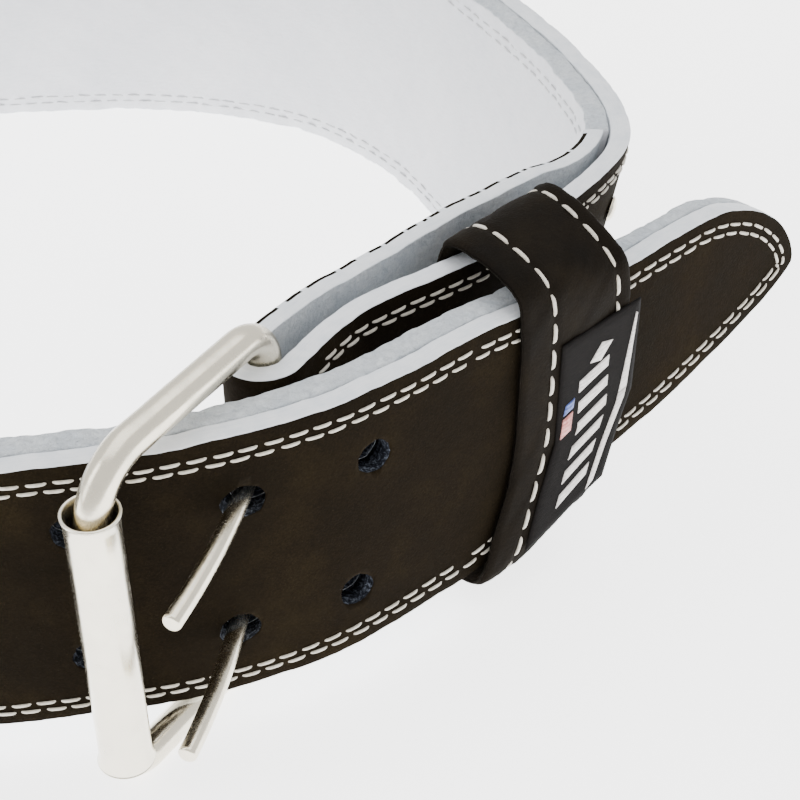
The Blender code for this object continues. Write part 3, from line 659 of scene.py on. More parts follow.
def nickel(name, color, rough_low, rough_high):
    """Plated steel with soft wear, faint draw marks and a warm tint."""
    n = Nodes(name)
    place = n.object_place()
    wear = n.noise(place, 130.0, 5.0, 0.6)
    fine = n.noise(n.scaled(place, (1.0, 1.0, 0.12)), 1600.0, 3.0, 0.6)
    rough = n.math("MULTIPLY", wear, n.span(fine, 0.3, 0.7, 0.8, 1.2))
    tone = n.mix(n.span(wear, 0.35, 0.7), (*color, 1.0), (*(0.9 * c for c in color), 1.0))
    return n.set(Base_Color=tone, Roughness=n.span(rough, 0.25, 0.8, rough_low, rough_high), Metallic=1.0,
                 Normal=n.bump(wear, 0.08, 0.0012, n.bump(fine, 0.03, 0.0002)))


def label_cloth(name):
    """Black damask weave of the label."""
    n = Nodes(name)
    place = n.scaled(n.uv("place"), (2600.0, 2600.0, 1.0))
    check = n.add("ShaderNodeTexChecker", {"Vector": place, "Scale": 1.0}).outputs["Fac"]
    slub = n.noise(n.scaled(n.uv("place"), (300.0, 3000.0, 1.0)), 1.0, 3.0, 0.6)
    return n.set(Base_Color=n.shades(slub, (0.3, 12, 12, 12), (0.7, 26, 23, 22)), Roughness=0.75,
                 Normal=n.bump(check, 0.25, 0.0003, n.bump(slub, 0.4, 0.0004)), Specular_IOR_Level=0.04,
                 Sheen_Weight=0.02, Sheen_Roughness=0.4)


def satin(name, color, shade):
    """Embroidery: close satin stitches across each motif."""
    n = Nodes(name)
    place = n.scaled(n.uv("place"), (900.0, 900.0, 1.0))
    lines = n.add("ShaderNodeTexWave", {"Vector": place, "Scale": 0.25, "Distortion": 1.2, "Detail": 2.0},
                  bands_direction="Y").outputs["Fac"]
    worn = n.noise(n.object_place(), 700.0, 4.0, 0.6)
    tone = n.mix(n.span(worn, 0.35, 0.65), (*linear(*shade), 1.0), (*linear(*color), 1.0))
    return n.set(Base_Color=tone, Normal=n.bump(lines, 0.5, 0.0003), Roughness=0.62, Specular_IOR_Level=0.35,
                 Sheen_Weight=0.2)


SKIN = nubuck("black_nubuck_skin", (16, 12, 6), (22, 17, 10), (31, 25, 15))
EDGE = cut_edge("white_cut_edge")
FLESH = raw_suede("raw_suede_edge")
SUEDE = inner_suede("pale_inner_suede")
# walls of the punched holes, slots and rivet bores: fibre texture with painted shade
HOLE_FIBRES_AND_SHADE = hole_fibres_and_shade("punched_hole_fibres_and_painted_shade")
THREAD_WHITE = thread("ivory_thread", (232, 226, 213), (196, 188, 172))
THREAD_PALE = thread("pale_thread", (222, 222, 222), (200, 202, 206))
KEEPER = keeper_leather("keeper_black_leather")
METAL = nickel("warm_nickel", (0.79, 0.73, 0.59), 0.14, 0.34)
TUBE = nickel("roller_nickel", (0.85, 0.80, 0.67), 0.16, 0.32)
CLOTH = label_cloth("black_label_weave")
MOTIF = satin("white_embroidery", (226, 221, 216), (196, 190, 186))
ACCENT_RED = satin("faded_red_embroidery", (214, 150, 142), (180, 104, 98))
ACCENT_BLUE = satin("blue_embroidery", (92, 112, 176), (58, 72, 128))


# Plies

def ply_template(face_rows, back_rows, edge_rows, corner, crown):
    """Ring of a ply as columns: depth share, depth offset, height share, height offset, material slot."""
    points = []
    turns = [math.pi / 2 * k / CORNER_STEPS for k in range(1, CORNER_STEPS + 1)]
    for k in range(face_rows + 1):
        v = k / face_rows
        points.append((0.0, 0.0, v, corner * (1 - 2 * v), 0))
    for k, a in enumerate(turns):
        points.append((0.0, corner * (1 - math.cos(a)), 1.0, corner * (math.sin(a) - 1), 0 if k < 1 else 1))
    for k in range(1, edge_rows + 1):
        v = k / edge_rows
        points.append((v, corner * (1 - 2 * v), 1.0, crown * 4 * v * (1 - v), 1))
    for k, a in enumerate(turns):
        points.append((1.0, corner * (math.sin(a) - 1), 1.0, corner * (math.cos(a) - 1), 1 if k < 2 else 2))
    for k in range(1, back_rows + 1):
        v = 1 - k / back_rows
        points.append((1.0, 0.0, v, corner * (1 - 2 * v), 2))
    for a in turns:
        points.append((1.0, -corner * (1 - math.cos(a)), 0.0, corner * (1 - math.sin(a)), 1))
    for k in range(1, edge_rows + 1):
        v = 1 - k / edge_rows
        points.append((v, corner * (1 - 2 * v), 0.0, -crown * 4 * v * (1 - v), 1))
    for k, a in enumerate(turns[:-1]):
        points.append((0.0, corner * (1 - math.sin(a)), 0.0, corner * (1 - math.cos(a)), 1 if k < 1 else 0))
    return np.array(points)


def tip_distances(count, first, stop):
    """Distances from the tip: close where the tip is round, then even up to a last one."""
    tip = TIP_LENGTH * (1 - np.cos(math.pi / 2 * np.arange(1, count + 1) / count))
    even = np.linspace(TIP_LENGTH, stop, int((stop - TIP_LENGTH) / STEP) + 1)[1:]
    return np.concatenate([[first], tip[tip > first * 1.3], even])


def wall_sections(s, ribbon, depth, sign):
    """Sections of a ply at distances from the tip: plan point, normal, lean, distances, depth, side."""
    x, y, lean, nx, ny = plan.read(s)
    return np.stack([x, y, nx, ny, lean, s, ribbon, depth, np.full(len(s), sign)], axis=1)


def ribbon_sections():
    """Sections of the outer ply, from the tip round the loop and the fold to the flap's end."""
    s = tip_distances(26, 0.25 * MM, END)
    turns = 22
    fold = []
    for k in range(1, turns):
        spoke = heading(FOLD_START - math.pi * k / turns)
        spot = REAR + FOLD_RADIUS * spoke
        fold.append((*spot, *spoke, 0.0, END, END + FOLD_RADIUS * math.pi * k / turns, 0.0, 1.0))
    flap = np.linspace(END, END - FLAP_LENGTH, int(FLAP_LENGTH / STEP) + 1)
    skin = 2 * OUTER_PLY + flap_gap((END - flap) / FLAP_LENGTH)
    ribbon = END + FOLD_RADIUS * math.pi + (END - flap)
    return np.vstack([wall_sections(s, s, np.zeros(len(s)), 1.0), fold, wall_sections(flap, ribbon, skin, -1.0)])


def build_ply(name, sections, thickness, template, materials, edge_waver, seed, deep_waver=0.0):
    """Loft a ply over its sections. The flap's upper corner is dark in places."""
    sx, sy, snx, sny, slean, ss, sr, sbase, ssign = (sections[:, k][:, None] for k in range(9))
    low, high = strap_edges(ss)
    low = low + edge_waver * noise_wave(sr, 0.045, seed)
    high = high + edge_waver * noise_wave(sr, 0.038, seed + 1)
    room = np.maximum(high - low, 0.0)
    limit = np.minimum(1.0, room / (4 * MM))
    df, do, vf, vo, _ = (template[:, k][None, :] for k in range(5))
    depth = df * thickness[:, None] + do * limit
    height = low + vf * room + vo * limit
    inward = sbase + ssign * depth
    if deep_waver:
        wave = noise_wave(sr + height * 1.7, 0.021, seed + 2)
        inward = inward + ssign * deep_waver * wave * df
    points = stand(sx, sy, snx, sny, slean, inward, height)
    rows, columns = points.shape[:2]
    kinds = template[:, 4].astype(int)
    slots = np.tile(np.maximum(kinds, np.roll(kinds, -1)), (rows - 1, 1))
    corner = (template[:, 0] == 0.0) & (template[:, 2] == 1.0) & (kinds == 1)
    dark = (ssign[1:, 0] < 0) & (noise_wave(sr[1:, 0], EDGE_LINE_WAVE, seed + 3) > -0.35)
    slots[np.ix_(dark, corner)] = 0
    ends = [list(range(columns)), list(range((rows - 1) * columns, rows * columns))[::-1]]
    faces = grid_faces(rows, columns, wrap=True) + ends
    walked = np.broadcast_to(sr, height.shape)
    uvs = {"place": np.stack([walked, height], axis=-1).reshape(-1, 2),
           "layer": np.stack([walked, depth], axis=-1).reshape(-1, 2)}
    return new_object(name, points.reshape(-1, 3), faces, materials, [*slots.reshape(-1), 1, 1], uvs)


def rod(centre, axis, radius, start, stop, sides, wobble=0.0, seed=0):
    """Closed rod as (points, faces), slightly uneven round its axis."""
    axis = np.array(axis, float) / np.linalg.norm(axis)
    across = np.cross(axis, (0.0, 0.0, 1.0))
    across /= np.linalg.norm(across)
    other = np.cross(axis, across)
    angle = 2 * math.pi * np.arange(sides) / sides
    wide = radius * (1.0 + wobble * noise_wave(angle / (2 * math.pi), 1.0 / 3, seed))
    points = []
    stops = (start, start * 0.5, 0.0, stop * 0.35, stop * 0.62, stop)
    for along in stops:
        ring = centre + axis * along + np.cos(angle)[:, None] * across * wide[:, None]
        points.append(ring + np.sin(angle)[:, None] * other * wide[:, None])
    return np.vstack(points), rod_faces(len(stops), sides)


def cut(piece, parts):
    """Cut closed bodies out of a piece, all at once."""
    points, faces, base = [], [], 0
    for verts, quads in parts:
        points.append(verts)
        faces += [[base + v for v in f] for f in quads]
        base += len(verts)
    # the cut walls take the hole material, whose dark tone is painted shade
    tool = new_object("cutter", np.vstack(points), faces, [HOLE_FIBRES_AND_SHADE])
    modifier = piece.modifiers.new("cuts", "BOOLEAN")
    modifier.operation = "DIFFERENCE"
    modifier.solver = "EXACT"
    modifier.material_mode = "TRANSFER"
    modifier.object = tool
    bpy.context.view_layer.update()
    shown = piece.evaluated_get(bpy.context.evaluated_depsgraph_get())
    whole, piece.data = piece.data, bpy.data.meshes.new_from_object(shown)
    piece.modifiers.clear()
    bpy.data.meshes.remove(whole)
    bpy.data.objects.remove(tool, do_unlink=True)


def eye_radius():
    return (WIRE_DIAMETER + PRONG_DIAMETER) / 2 + EYE_CLEARANCE


def hole_place(pair, row):
    """Distance of a hole from the tail tip, in the lower row (0) or the upper row (1)."""
    return HOLE_FROM_TIP + (pair + HOLE_ROWS[pair][row]) * HOLE_PITCH


class ProngLine:
    """Plan line of a prong: eased from its eye round the rear bar into a straight run through its hole."""

    def __init__(self, row):
        self.height = prong_heights()[row]
        self.mouth = wall(hole_place(PRONG_PAIR, row) + PRONG_SEAT, 0.0, self.height)[:2] - SHIFT
        self.away = heading(PRONG_HEADINGS[row])
        self.side = np.array((-self.away[1], self.away[0]))
        self.inside = self.mouth - self.away * (OUTER_PLY + PLY_GAP + INNER_PLY)
        reach = self.mouth - REAR
        self.leave = math.atan2(reach[1], reach[0]) - math.pi / 2 + EYE_LEAVE

    def shaft(self, share):
        """Point of the eased run from the eye's end to the inner face of the strap."""
        start = REAR + eye_radius() * heading(self.leave)
        ease = heading(self.leave + math.pi / 2) * EYE_EASE
        left = 1.0 - share
        return (start * left ** 3 + (start + ease) * 3 * left ** 2 * share
                + (self.inside - self.away * EYE_EASE) * 3 * left * share ** 2 + self.inside * share ** 3)


def wall_axis(s):
    """Direction into the wall, square to its face, at a distance from the tip."""
    _, _, lean, nx, ny = plan.read(s)
    return np.array((nx * math.cos(lean), ny * math.cos(lean), -math.sin(lean)))


def prong_heights():
    return [(STRAP_WIDTH + PRONG_SPACING * side) / 2 for side in (-1, 1)]


prong_lines = [ProngLine(row) for row in (0, 1)]


def hole_rods():
    """Rods for the punched holes. The pair in use follows the prongs."""
    depth = OUTER_PLY + PLY_GAP + INNER_PLY
    radius = HOLE_DIAMETER / 2
    parts = []
    for pair in range(len(HOLE_ROWS)):
        for row, height in enumerate(prong_heights()):
            s = hole_place(pair, row)
            axis = wall_axis(s)
            if pair == PRONG_PAIR:
                axis = np.array((*prong_lines[row].away, 0.0))
            slant = float(axis @ wall_axis(s))
            reach = (depth + radius * math.sqrt(max(1.0 - slant * slant, 0.0))) / slant + HOLE_OVERRUN
            parts.append(rod(wall(s, 0.0, height), axis, radius, -reach, depth, 40, 0.05, pair * 2 + row))
    return parts


def slot_boxes():
    """Rounded boxes for the two slots that the prongs' eyes sit in at the fold."""
    along = heading(FOLD_START + math.pi / 2)
    across = np.array((-along[1], along[0]))
    reach = (SLOT_REACH + FOLD_RADIUS) / 2
    middle = REAR - along * (reach - eye_radius() - PRONG_DIAMETER / 2 - SLOT_CLEARANCE)
    half_wide, half_high = FOLD_RADIUS + OUTER_PLY / 2, PRONG_DIAMETER / 2 + SLOT_CLEARANCE
    sides = 16
    ring = []
    for k in range(sides):
        turn = heading(2 * math.pi * (k + 0.5) / sides)
        ring.append(np.sign(turn) * np.abs(turn) ** 0.5 * (reach, half_high))
    parts = []
    for height in prong_heights():
        z = height + lift_at(REAR[1])
        points = [(*(middle + along * a + across * side + SHIFT), z + b)
                  for side in (-half_wide, half_wide) for a, b in ring]
        parts.append((np.array(points), rod_faces(2, sides)))
    return parts


def rivet_stack():
    """Skin points, axis and thickness of the stack at the upper and the lower rivet."""
    s = END - FLAP_LENGTH + RIVET_FROM_END
    stack = 2 * OUTER_PLY + flap_gap(1.0 - RIVET_FROM_END / FLAP_LENGTH)
    places = [wall(s, 0.0, STRAP_WIDTH / 2 + RIVET_SPACING * side) for side in (0.5, -0.5)]
    return places, wall_axis(s), stack


def rivet_rods():
    places, axis, stack = rivet_stack()
    return [rod(p, axis, RIVET_SHANK / 2 + TOUCH_GAP, -stack - OUTER_PLY, OUTER_PLY, 20) for p in places]


def build_outer():
    sections = ribbon_sections()
    template = ply_template(26, 12, 5, OUTER_CORNER, OUTER_CROWN)
    thickness = np.full(len(sections), OUTER_PLY)
    piece = build_ply("strap_skin_ply", sections, thickness, template, [SKIN, EDGE, FLESH], OUTER_WAVER, 11)
    cut(piece, [*hole_rods(), *slot_boxes(), *rivet_rods()])
    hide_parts("outer_strap")
    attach(piece, "belt")


def build_lining():
    s = tip_distances(22, 0.5 * MM, END - FLAP_LENGTH - PLY_GAP)
    sections = wall_sections(s, s, np.full(len(s), OUTER_PLY + PLY_GAP), 1.0)
    template = ply_template(12, 22, 6, INNER_CORNER, INNER_CROWN)
    template[:, 4] = np.where(template[:, 4] == 2, 1, 0)
    piece = build_ply("suede_lining_ply", sections, inner_ply_at(s), template, [FLESH, SUEDE], INNER_WAVER, 31,
                      INNER_WAVER)
    cut(piece, hole_rods())
    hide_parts("inner_lining")
    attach(piece, "belt")


# Stitches

def stitch_piece(name, rows, material, radius=THREAD / 2, sink=0.35 * MM, rise=0.28 * MM):
    """One mesh of stitches from rows of starts, ends and normals. Each dips into the leather at both ends."""
    starts, ends, normals = (np.vstack(part) for part in zip(*rows))
    span = ends - starts
    length = np.linalg.norm(span, axis=1)[:, None]
    along = span / length
    side = unit_rows(np.cross(normals, along))
    stations, sides = 9, 8
    t = np.linspace(0.0, 1.0, stations)
    swell = 1.0 - (2 * t - 1) ** 4
    arch = -sink + (rise + sink) * np.clip(swell, 0.0, 1.0)
    wide = radius * (0.35 + 0.65 * np.sqrt(np.clip(swell, 0.06, 1.0)))
    angle = 2 * math.pi * np.arange(sides) / sides
    centre = (starts[:, None, :] + along[:, None, :] * (length[:, None, :] * t[None, :, None])
              + normals[:, None, :] * arch[None, :, None])
    ring = (np.cos(angle)[None, None, :, None] * side[:, None, None, :] * 1.08
            + np.sin(angle)[None, None, :, None] * normals[:, None, None, :] * 0.85)
    points = (centre[:, :, None, :] + ring * wide[None, :, None, None]).reshape(-1, 3)
    count = len(starts)
    size = stations * sides
    faces = [[k * size + v for v in f] for k in range(count) for f in rod_faces(stations, sides)]
    u = np.broadcast_to(t[None, :, None] * 9.0, (count, stations, sides))
    v = np.broadcast_to(angle[None, None, :] / (2 * math.pi) * 4.0, (count, stations, sides))
    piece = new_object(name, points, faces, [material], uvs={"place": np.stack([u, v], axis=-1).reshape(-1, 2)})
    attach(piece, "belt")


def row_points(surface, path, offset, seed):
    """Starts, ends and normals of the stitches along a path of (s, height) pairs on a surface."""
    walked = distances(surface(path[:, 0], path[:, 1]))
    state = np.random.RandomState(seed)
    begins = np.arange(offset, walked[-1] - STITCH_LENGTH, STITCH_PITCH)
    begins = begins + state.uniform(-0.25, 0.25, len(begins)) * MM
    s0, h0 = read_along(begins, walked, path).T
    s1, h1 = read_along(begins + STITCH_LENGTH, walked, path).T
    h0 = h0 + state.uniform(-STITCH_JITTER, STITCH_JITTER, len(h0))
    h1 = h1 + state.uniform(-STITCH_JITTER, STITCH_JITTER, len(h1))
    s, height = (s0 + s1) / 2, (h0 + h1) / 2
    d = 0.4 * MM
    along = surface(s + d, height) - surface(s - d, height)
    up = surface(s, height + d) - surface(s, height - d)
    return surface(s0, h0), surface(s1, h1), unit_rows(np.cross(up, along))


def skin_surface(s, height):
    return wall(s, 0.0, height)


def inside_surface(s, height):
    return wall(s, OUTER_PLY + PLY_GAP + inner_ply_at(s), height)


def outline_path(offset, last):
    """Path inside the strap's outline: along the bottom, round the tip and back along the top."""
    fine = TIP_LENGTH * (1 - np.cos(np.linspace(0.02, math.pi / 2, 60)))
    s = np.concatenate([fine, np.arange(TIP_LENGTH + 1 * MM, last, 1.5 * MM)])
    low, high = strap_edges(s)
    loop = np.vstack([np.stack([s, low], axis=1)[::-1], np.stack([s, high], axis=1)])
    along = line_directions(loop)
    moved = loop + np.stack([along[:, 1], -along[:, 0]], axis=1) * offset
    keep = (np.diff(moved, axis=0) * along[:-1]).sum(1) > 0
    moved = moved[np.concatenate([[True], keep])]
    walked = distances(moved)
    return read_along(np.arange(0.0, walked[-1], 1.0 * MM), walked, moved)


def build_strap_stitches():
    """Double rows round the skin's outline and along both edges of the lining."""
    taper_end = TAPER_START + TAPER_LENGTH
    outside, inside = [], []
    for k in range(2):
        start = 2.4 * k * MM
        tip = TIP_STITCHES[k]
        outside.append(row_points(skin_surface, outline_path(tip, taper_end), (1.0 + 3.1 * k) * MM, 5 + k))
        s = np.arange(taper_end, END - 4 * MM, 2 * MM)
        low, high = strap_edges(s)
        share = np.clip((s - taper_end) / STITCH_BLEND, 0, 1)
        top = np.stack([s, high - (tip * (1 - share) + TOP_STITCHES[k] * share)], axis=1)
        bottom = np.stack([s, low + tip * (1 - share) + BOTTOM_STITCHES[k] * share], axis=1)
        before = (taper_end - 4 * MM, top[0, 1])
        outside.append(row_points(skin_surface, np.vstack([before, top]), start, 15 + k))
        outside.append(row_points(skin_surface, bottom, start + 0.5 * MM, 25 + k))
        s = np.arange(20 * MM, END - FLAP_LENGTH - 6 * MM, 2 * MM)
        low, high = strap_edges(s)
        for seed, level in ((35, high - TOP_STITCHES[k]), (45, low + BOTTOM_STITCHES[k])):
            path = np.stack([s, level], axis=1)
            starts, ends, normals = row_points(inside_surface, path, start + 0.5 * MM, seed + k)
            inside.append((starts, ends, -normals))
    stitch_piece("strap_stitches", outside, THREAD_WHITE)
    stitch_piece("lining_stitches", inside, THREAD_PALE, radius=THREAD * 0.42, sink=0.4 * MM, rise=0.1 * MM)


# Keeper and label

class KeeperFrame:
    """Straight axes at the keeper: u runs along the strap to the tail's tip, n from strap to tail."""

    def __init__(self):
        s = END - KEEPER_FROM_FOLD
        x, y, _, nx, ny = plan.read(s)
        self.centre = np.array((x, y))
        self.n = np.array((nx, ny)) / math.hypot(nx, ny)
        self.u = np.array((-self.n[1], self.n[0]))
        self.strap = self.lines(END - 2 * KEEPER_FROM_FOLD, END)
        self.tail = self.lines(0.0, HOLE_FROM_TIP)

    def lines(self, first, last):
        """Rows of u, n, lean and distance from the tip for a stretch of the strap."""
        s = np.arange(max(first, 0.3 * MM), last, 1.5 * MM)
        x, y, lean, _, _ = plan.read(s)
        offset = np.stack([x, y], axis=1) - self.centre
        rows = np.stack([offset @ self.u, offset @ self.n, lean, s], axis=1)
        return rows[np.argsort(rows[:, 0])]

    def strap_face(self, u, height):
        lean = np.interp(u, self.strap[:, 0], self.strap[:, 2])
        return np.interp(u, self.strap[:, 0], self.strap[:, 1]) + (height - STRAP_WIDTH / 2) * math.tan(lean)

    def tail_face(self, u):
        return np.interp(u, self.tail[:, 0], self.tail[:, 1])

    def tail_edges(self, u):
        return strap_edges(np.interp(u, self.tail[:, 0], self.tail[:, 3]))

    def world(self, points):
        points = np.asarray(points, float)
        flat = self.centre + points[..., :1] * self.u + points[..., 1:2] * self.n + SHIFT
        return np.concatenate([flat, points[..., 2:3] + lift_at(self.centre[1])], axis=-1)

    def turn_point(self, u, row):
        """Point of the loop's middle surface from one row of the table."""
        across, rise, skew = row
        place = u + KEEPER_SKEW * skew
        room = KEEPER_THICKNESS / 2 + KEEPER_SLACK
        tail_low, tail_high = self.tail_edges(place)
        low = -room * (1.0 - across) + (tail_low - room) * across
        high = (STRAP_WIDTH + room) * (1.0 - across) + (tail_high + room) * across
        height = low + (high - low) * rise
        root = self.strap_face(place, height) - OUTER_PLY - room
        front = self.tail_face(place) + room
        return np.array((place, root + (front - root) * across, height))

    def turn(self, u):
        """Closed smooth line of the loop's middle surface at one place across it."""
        points = np.array([self.turn_point(u, row) for row in KEEPER_ROWS])
        for _ in range(3):
            ahead = np.roll(points, -1, axis=0)
            points = np.stack([points * 0.75 + ahead * 0.25, points * 0.25 + ahead * 0.75], axis=1).reshape(-1, 3)
        return points

    def front_point(self, u, height):
        """Point of the loop's straight front at a height."""
        rows = [self.turn_point(u, row) for row in KEEPER_ROWS if row[0] >= 1.0]
        for high, low in zip(rows, rows[1:]):
            if height >= low[2]:
                share = (high[2] - height) / (high[2] - low[2])
                return high + (low - high) * share
        return rows[-1]


keeper = KeeperFrame()


def loop_normals(points):
    along = np.roll(points, -1, axis=0) - np.roll(points, 1, axis=0)
    return unit_rows(np.stack([np.zeros(len(points)), -along[:, 2], along[:, 1]], axis=1))


def build_keeper():
    """Soft leather loop, rounded inwards on the left, with a pressed line under each stitch row."""
    half = KEEPER_WIDTH / 2
    roll = KEEPER_THICKNESS / 2
    across = [(-half + roll * (1 - math.cos(a)), math.sin(a)) for a in (math.pi / 2 * k / 6 for k in range(7))]
    inner = np.linspace(-half + roll, half - roll, 40)[1:-1]
    across += [(u, 1.0) for u in inner]
    across += [(-u, t) for u, t in reversed(across[:7])]
    outline = [(u, t, 1) for u, t in across] + [(u, t, -1) for u, t in reversed(across[1:-1])]
    loops = []
    for u, t, side in outline:
        middle = keeper.turn(u)
        out = t * roll
        if side > 0:
            from_edge = half - abs(u)
            row = KEEPER_STITCHES[0 if u < 0 else 1]
            groove = KEEPER_GROOVE * math.exp(-((from_edge - row) / (1.3 * MM)) ** 2)
            crown = KEEPER_CROWN * max(0.0, 1.0 - (u / (half - row)) ** 2)
            puff = KEEPER_PUFF * math.exp(-((from_edge - 2.4 * MM) / (1.8 * MM)) ** 2)
            if u < 0:
                puff = -KEEPER_ROUND * max(0.0, 1.0 - from_edge / row) ** 1.5
            out = out + (crown + puff - groove)
        waver = KEEPER_WAVER * noise_wave(np.arange(len(middle)) * STEP + u, 0.02, 77)
        loops.append(keeper.world(middle + loop_normals(middle) * (side * out + waver[:, None])))
    points = np.array(loops)
    piece = new_object("keeper_soft_loop", points.reshape(-1, 3), ring_faces(*points.shape[:2]), [KEEPER])
    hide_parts("keeper_loop")
    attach(piece, "belt")


def keeper_row(u, offset):
    """Starts, ends and normals of a row of stitches round the keeper's outer face."""
    middle = keeper.turn(u)
    normal = loop_normals(middle)
    spots = keeper.world(middle + normal * (KEEPER_THICKNESS / 2 - 0.3 * MM))
    outer = unit_rows(keeper.world(middle + normal) - keeper.world(middle))
    walked = distances(spots)
    begins = np.arange(offset, walked[-1] - KEEPER_STITCH_LENGTH, KEEPER_STITCH_PITCH)
    normals = unit_rows(read_along(begins + KEEPER_STITCH_LENGTH / 2, walked, outer))
    return read_along(begins, walked, spots), read_along(begins + KEEPER_STITCH_LENGTH, walked, spots), normals


def build_keeper_stitches():
    left, right = KEEPER_STITCHES
    rows = [keeper_row(-KEEPER_WIDTH / 2 + left, 2.0 * MM), keeper_row(KEEPER_WIDTH / 2 - right, 5.0 * MM)]
    stitch_piece("keeper_stitches", rows, THREAD_WHITE, radius=0.6 * MM, rise=0.35 * MM, sink=0.3 * MM)


def label_point(a, b, out):
    """A point of the label: a across from 0 to 1, b up from 0 to 1, out from its back."""
    u = KEEPER_WIDTH / 2 + LABEL_OVERHANG - LABEL_WIDTH * (1.0 - a)
    top = STRAP_WIDTH - LABEL_DROP + LABEL_SLOPE * (a - 1.0)
    bottom = keeper.tail_edges(u - KEEPER_SKEW)[0] + LABEL_LOW
    place, across, height = keeper.front_point(u, bottom + (top - bottom) * b)
    return np.array((place, across + LABEL_BACK + out, height))


def sheet_piece(name, corners, columns, rows, low, high, material):
    """Thin sheet on the label's surface, between four corners in unit coordinates, with thinner rims."""
    corners = np.array(corners, float)
    points, place = [], []
    for thick in (0.0, high - low):
        for r in range(rows + 1):
            for c in range(columns + 1):
                across, up = c / columns, r / rows
                lower = corners[0] * (1 - across) + corners[1] * across
                upper = corners[3] * (1 - across) + corners[2] * across
                a, b = lower * (1 - up) + upper * up
                rim = min(c, columns - c, 2) / 2 * min(r, rows - r, 2) / 2
                points.append(label_point(a, b, low + thick * (0.55 + 0.45 * rim)))
                place.append((a * LABEL_WIDTH, b * 0.07))
    stride = columns + 1
    size = stride * (rows + 1)
    faces = []
    for r in range(rows):
        for c in range(columns):
            i = r * stride + c
            faces.append((i, i + 1, i + stride + 1, i + stride))
            faces.append((size + i, size + i + stride, size + i + stride + 1, size + i + 1))
    border = [r * stride for r in range(rows)] + [rows * stride + c for c in range(columns)]
    border += [r * stride + columns for r in range(rows, 0, -1)] + list(range(columns, 0, -1))
    for i, j in zip(border, border[1:] + border[:1]):
        faces.append((i, j, size + j, size + i))
    piece = new_object(name, keeper.world(points), faces, [material], uvs={"place": place})
    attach(piece, "belt")
    return piece


def build_label():
    """Woven label with an abstract design of bars, a slim flash along the right and two small blocks."""
    face = LABEL_THICKNESS
    corners = ((0, 0), (1, 0), (1, 1), (0, 1))
    cloth = sheet_piece("label_cloth", corners, 26, 60, 0.0, face, CLOTH)
    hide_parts("label_patch")
    white = []
    for k in range(6):
        low = 0.10 + 0.118 * k
        left, right = 0.30 - 0.012 * k, 0.66 - 0.01 * k
        white.append(((left, low), (right, low + 0.035), (right, low + 0.035 + 0.062), (left, low + 0.062)))
    white.append(((0.74, 0.03), (0.82, 0.05), (0.90, 0.50), (0.80, 0.50)))
    white.append(((0.80, 0.50), (0.90, 0.50), (0.95, 0.93), (0.93, 0.94)))
    white.append(((0.36, 0.815), (0.50, 0.79), (0.64, 0.865), (0.50, 0.89)))
    motifs = [("label_motif_%d" % k, shape, 8, MOTIF) for k, shape in enumerate(white)]
    red = ((0.04, 0.50), (0.17, 0.51), (0.18, 0.61), (0.06, 0.60))
    blue = ((0.06, 0.62), (0.18, 0.63), (0.19, 0.68), (0.08, 0.67))
    motifs += [("label_accent_red", red, 6, ACCENT_RED), ("label_accent_blue", blue, 6, ACCENT_BLUE)]
    for name, shape, cells, material in motifs:
        sheet_piece(name, shape, cells, cells, face - 0.1 * MM, face + 0.45 * MM, material)


# Metal

def buckle_points():
    """Evenly spaced points round the wire's centre line."""
    corners = (
        (0.0, LOW_BAR, 2, REAR_BEND),
        (BUCKLE_REACH, LOW_BAR, 3, FRONT_BEND),
        (BUCKLE_REACH, HIGH_BAR, 0, FRONT_UPPER_BEND),
        (0.0, HIGH_BAR, 1, REAR_UPPER_BEND),
    )
    steps = 14
    turned = []
    for reach, height, quarter, bend in corners:
        inward = (1 if reach == 0.0 else -1, 1 if height == LOW_BAR else -1)
        centre = np.array((reach + bend * inward[0], height + bend * inward[1]))
        turned += [centre + bend * heading(math.pi / 2 * (quarter + k / steps)) for k in range(steps + 1)]
    closed = np.array(turned + turned[:1])
    walked = distances(closed)
    flat = read_along(np.linspace(0.0, walked[-1], 260)[:-1], walked, closed)
    return np.array([(*(REAR + AWAY * along + SHIFT), rise + lift_at(REAR[1])) for along, rise in flat])


def build_frame():
    points = buckle_points()
    verts = tube(points, WIRE_DIAMETER / 2, WIRE_SIDES, np.cross((*AWAY, 0.0), (0.0, 0.0, 1.0)), closed=True)
    piece = new_object("buckle_wire", verts, ring_faces(len(points), WIRE_SIDES), [METAL])
    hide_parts("buckle_frame")
    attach(piece, "belt")


def lathe(profile, sides, centre, axis):
    """Points of a profile of (radius, height) pairs turned round an axis."""
    axis = np.array(axis, float) / np.linalg.norm(axis)
    across = np.cross(axis, (0.31, 0.95, 0.1))
    across /= np.linalg.norm(across)
    other = np.cross(axis, across)
    angle = 2 * math.pi * np.arange(sides) / sides
    spoke = np.cos(angle)[:, None] * across + np.sin(angle)[:, None] * other
    profile = np.array(profile)
    points = centre + spoke[None, :, :] * profile[:, 0][:, None, None] + axis * profile[:, 1][:, None, None]
    return points.reshape(-1, 3)


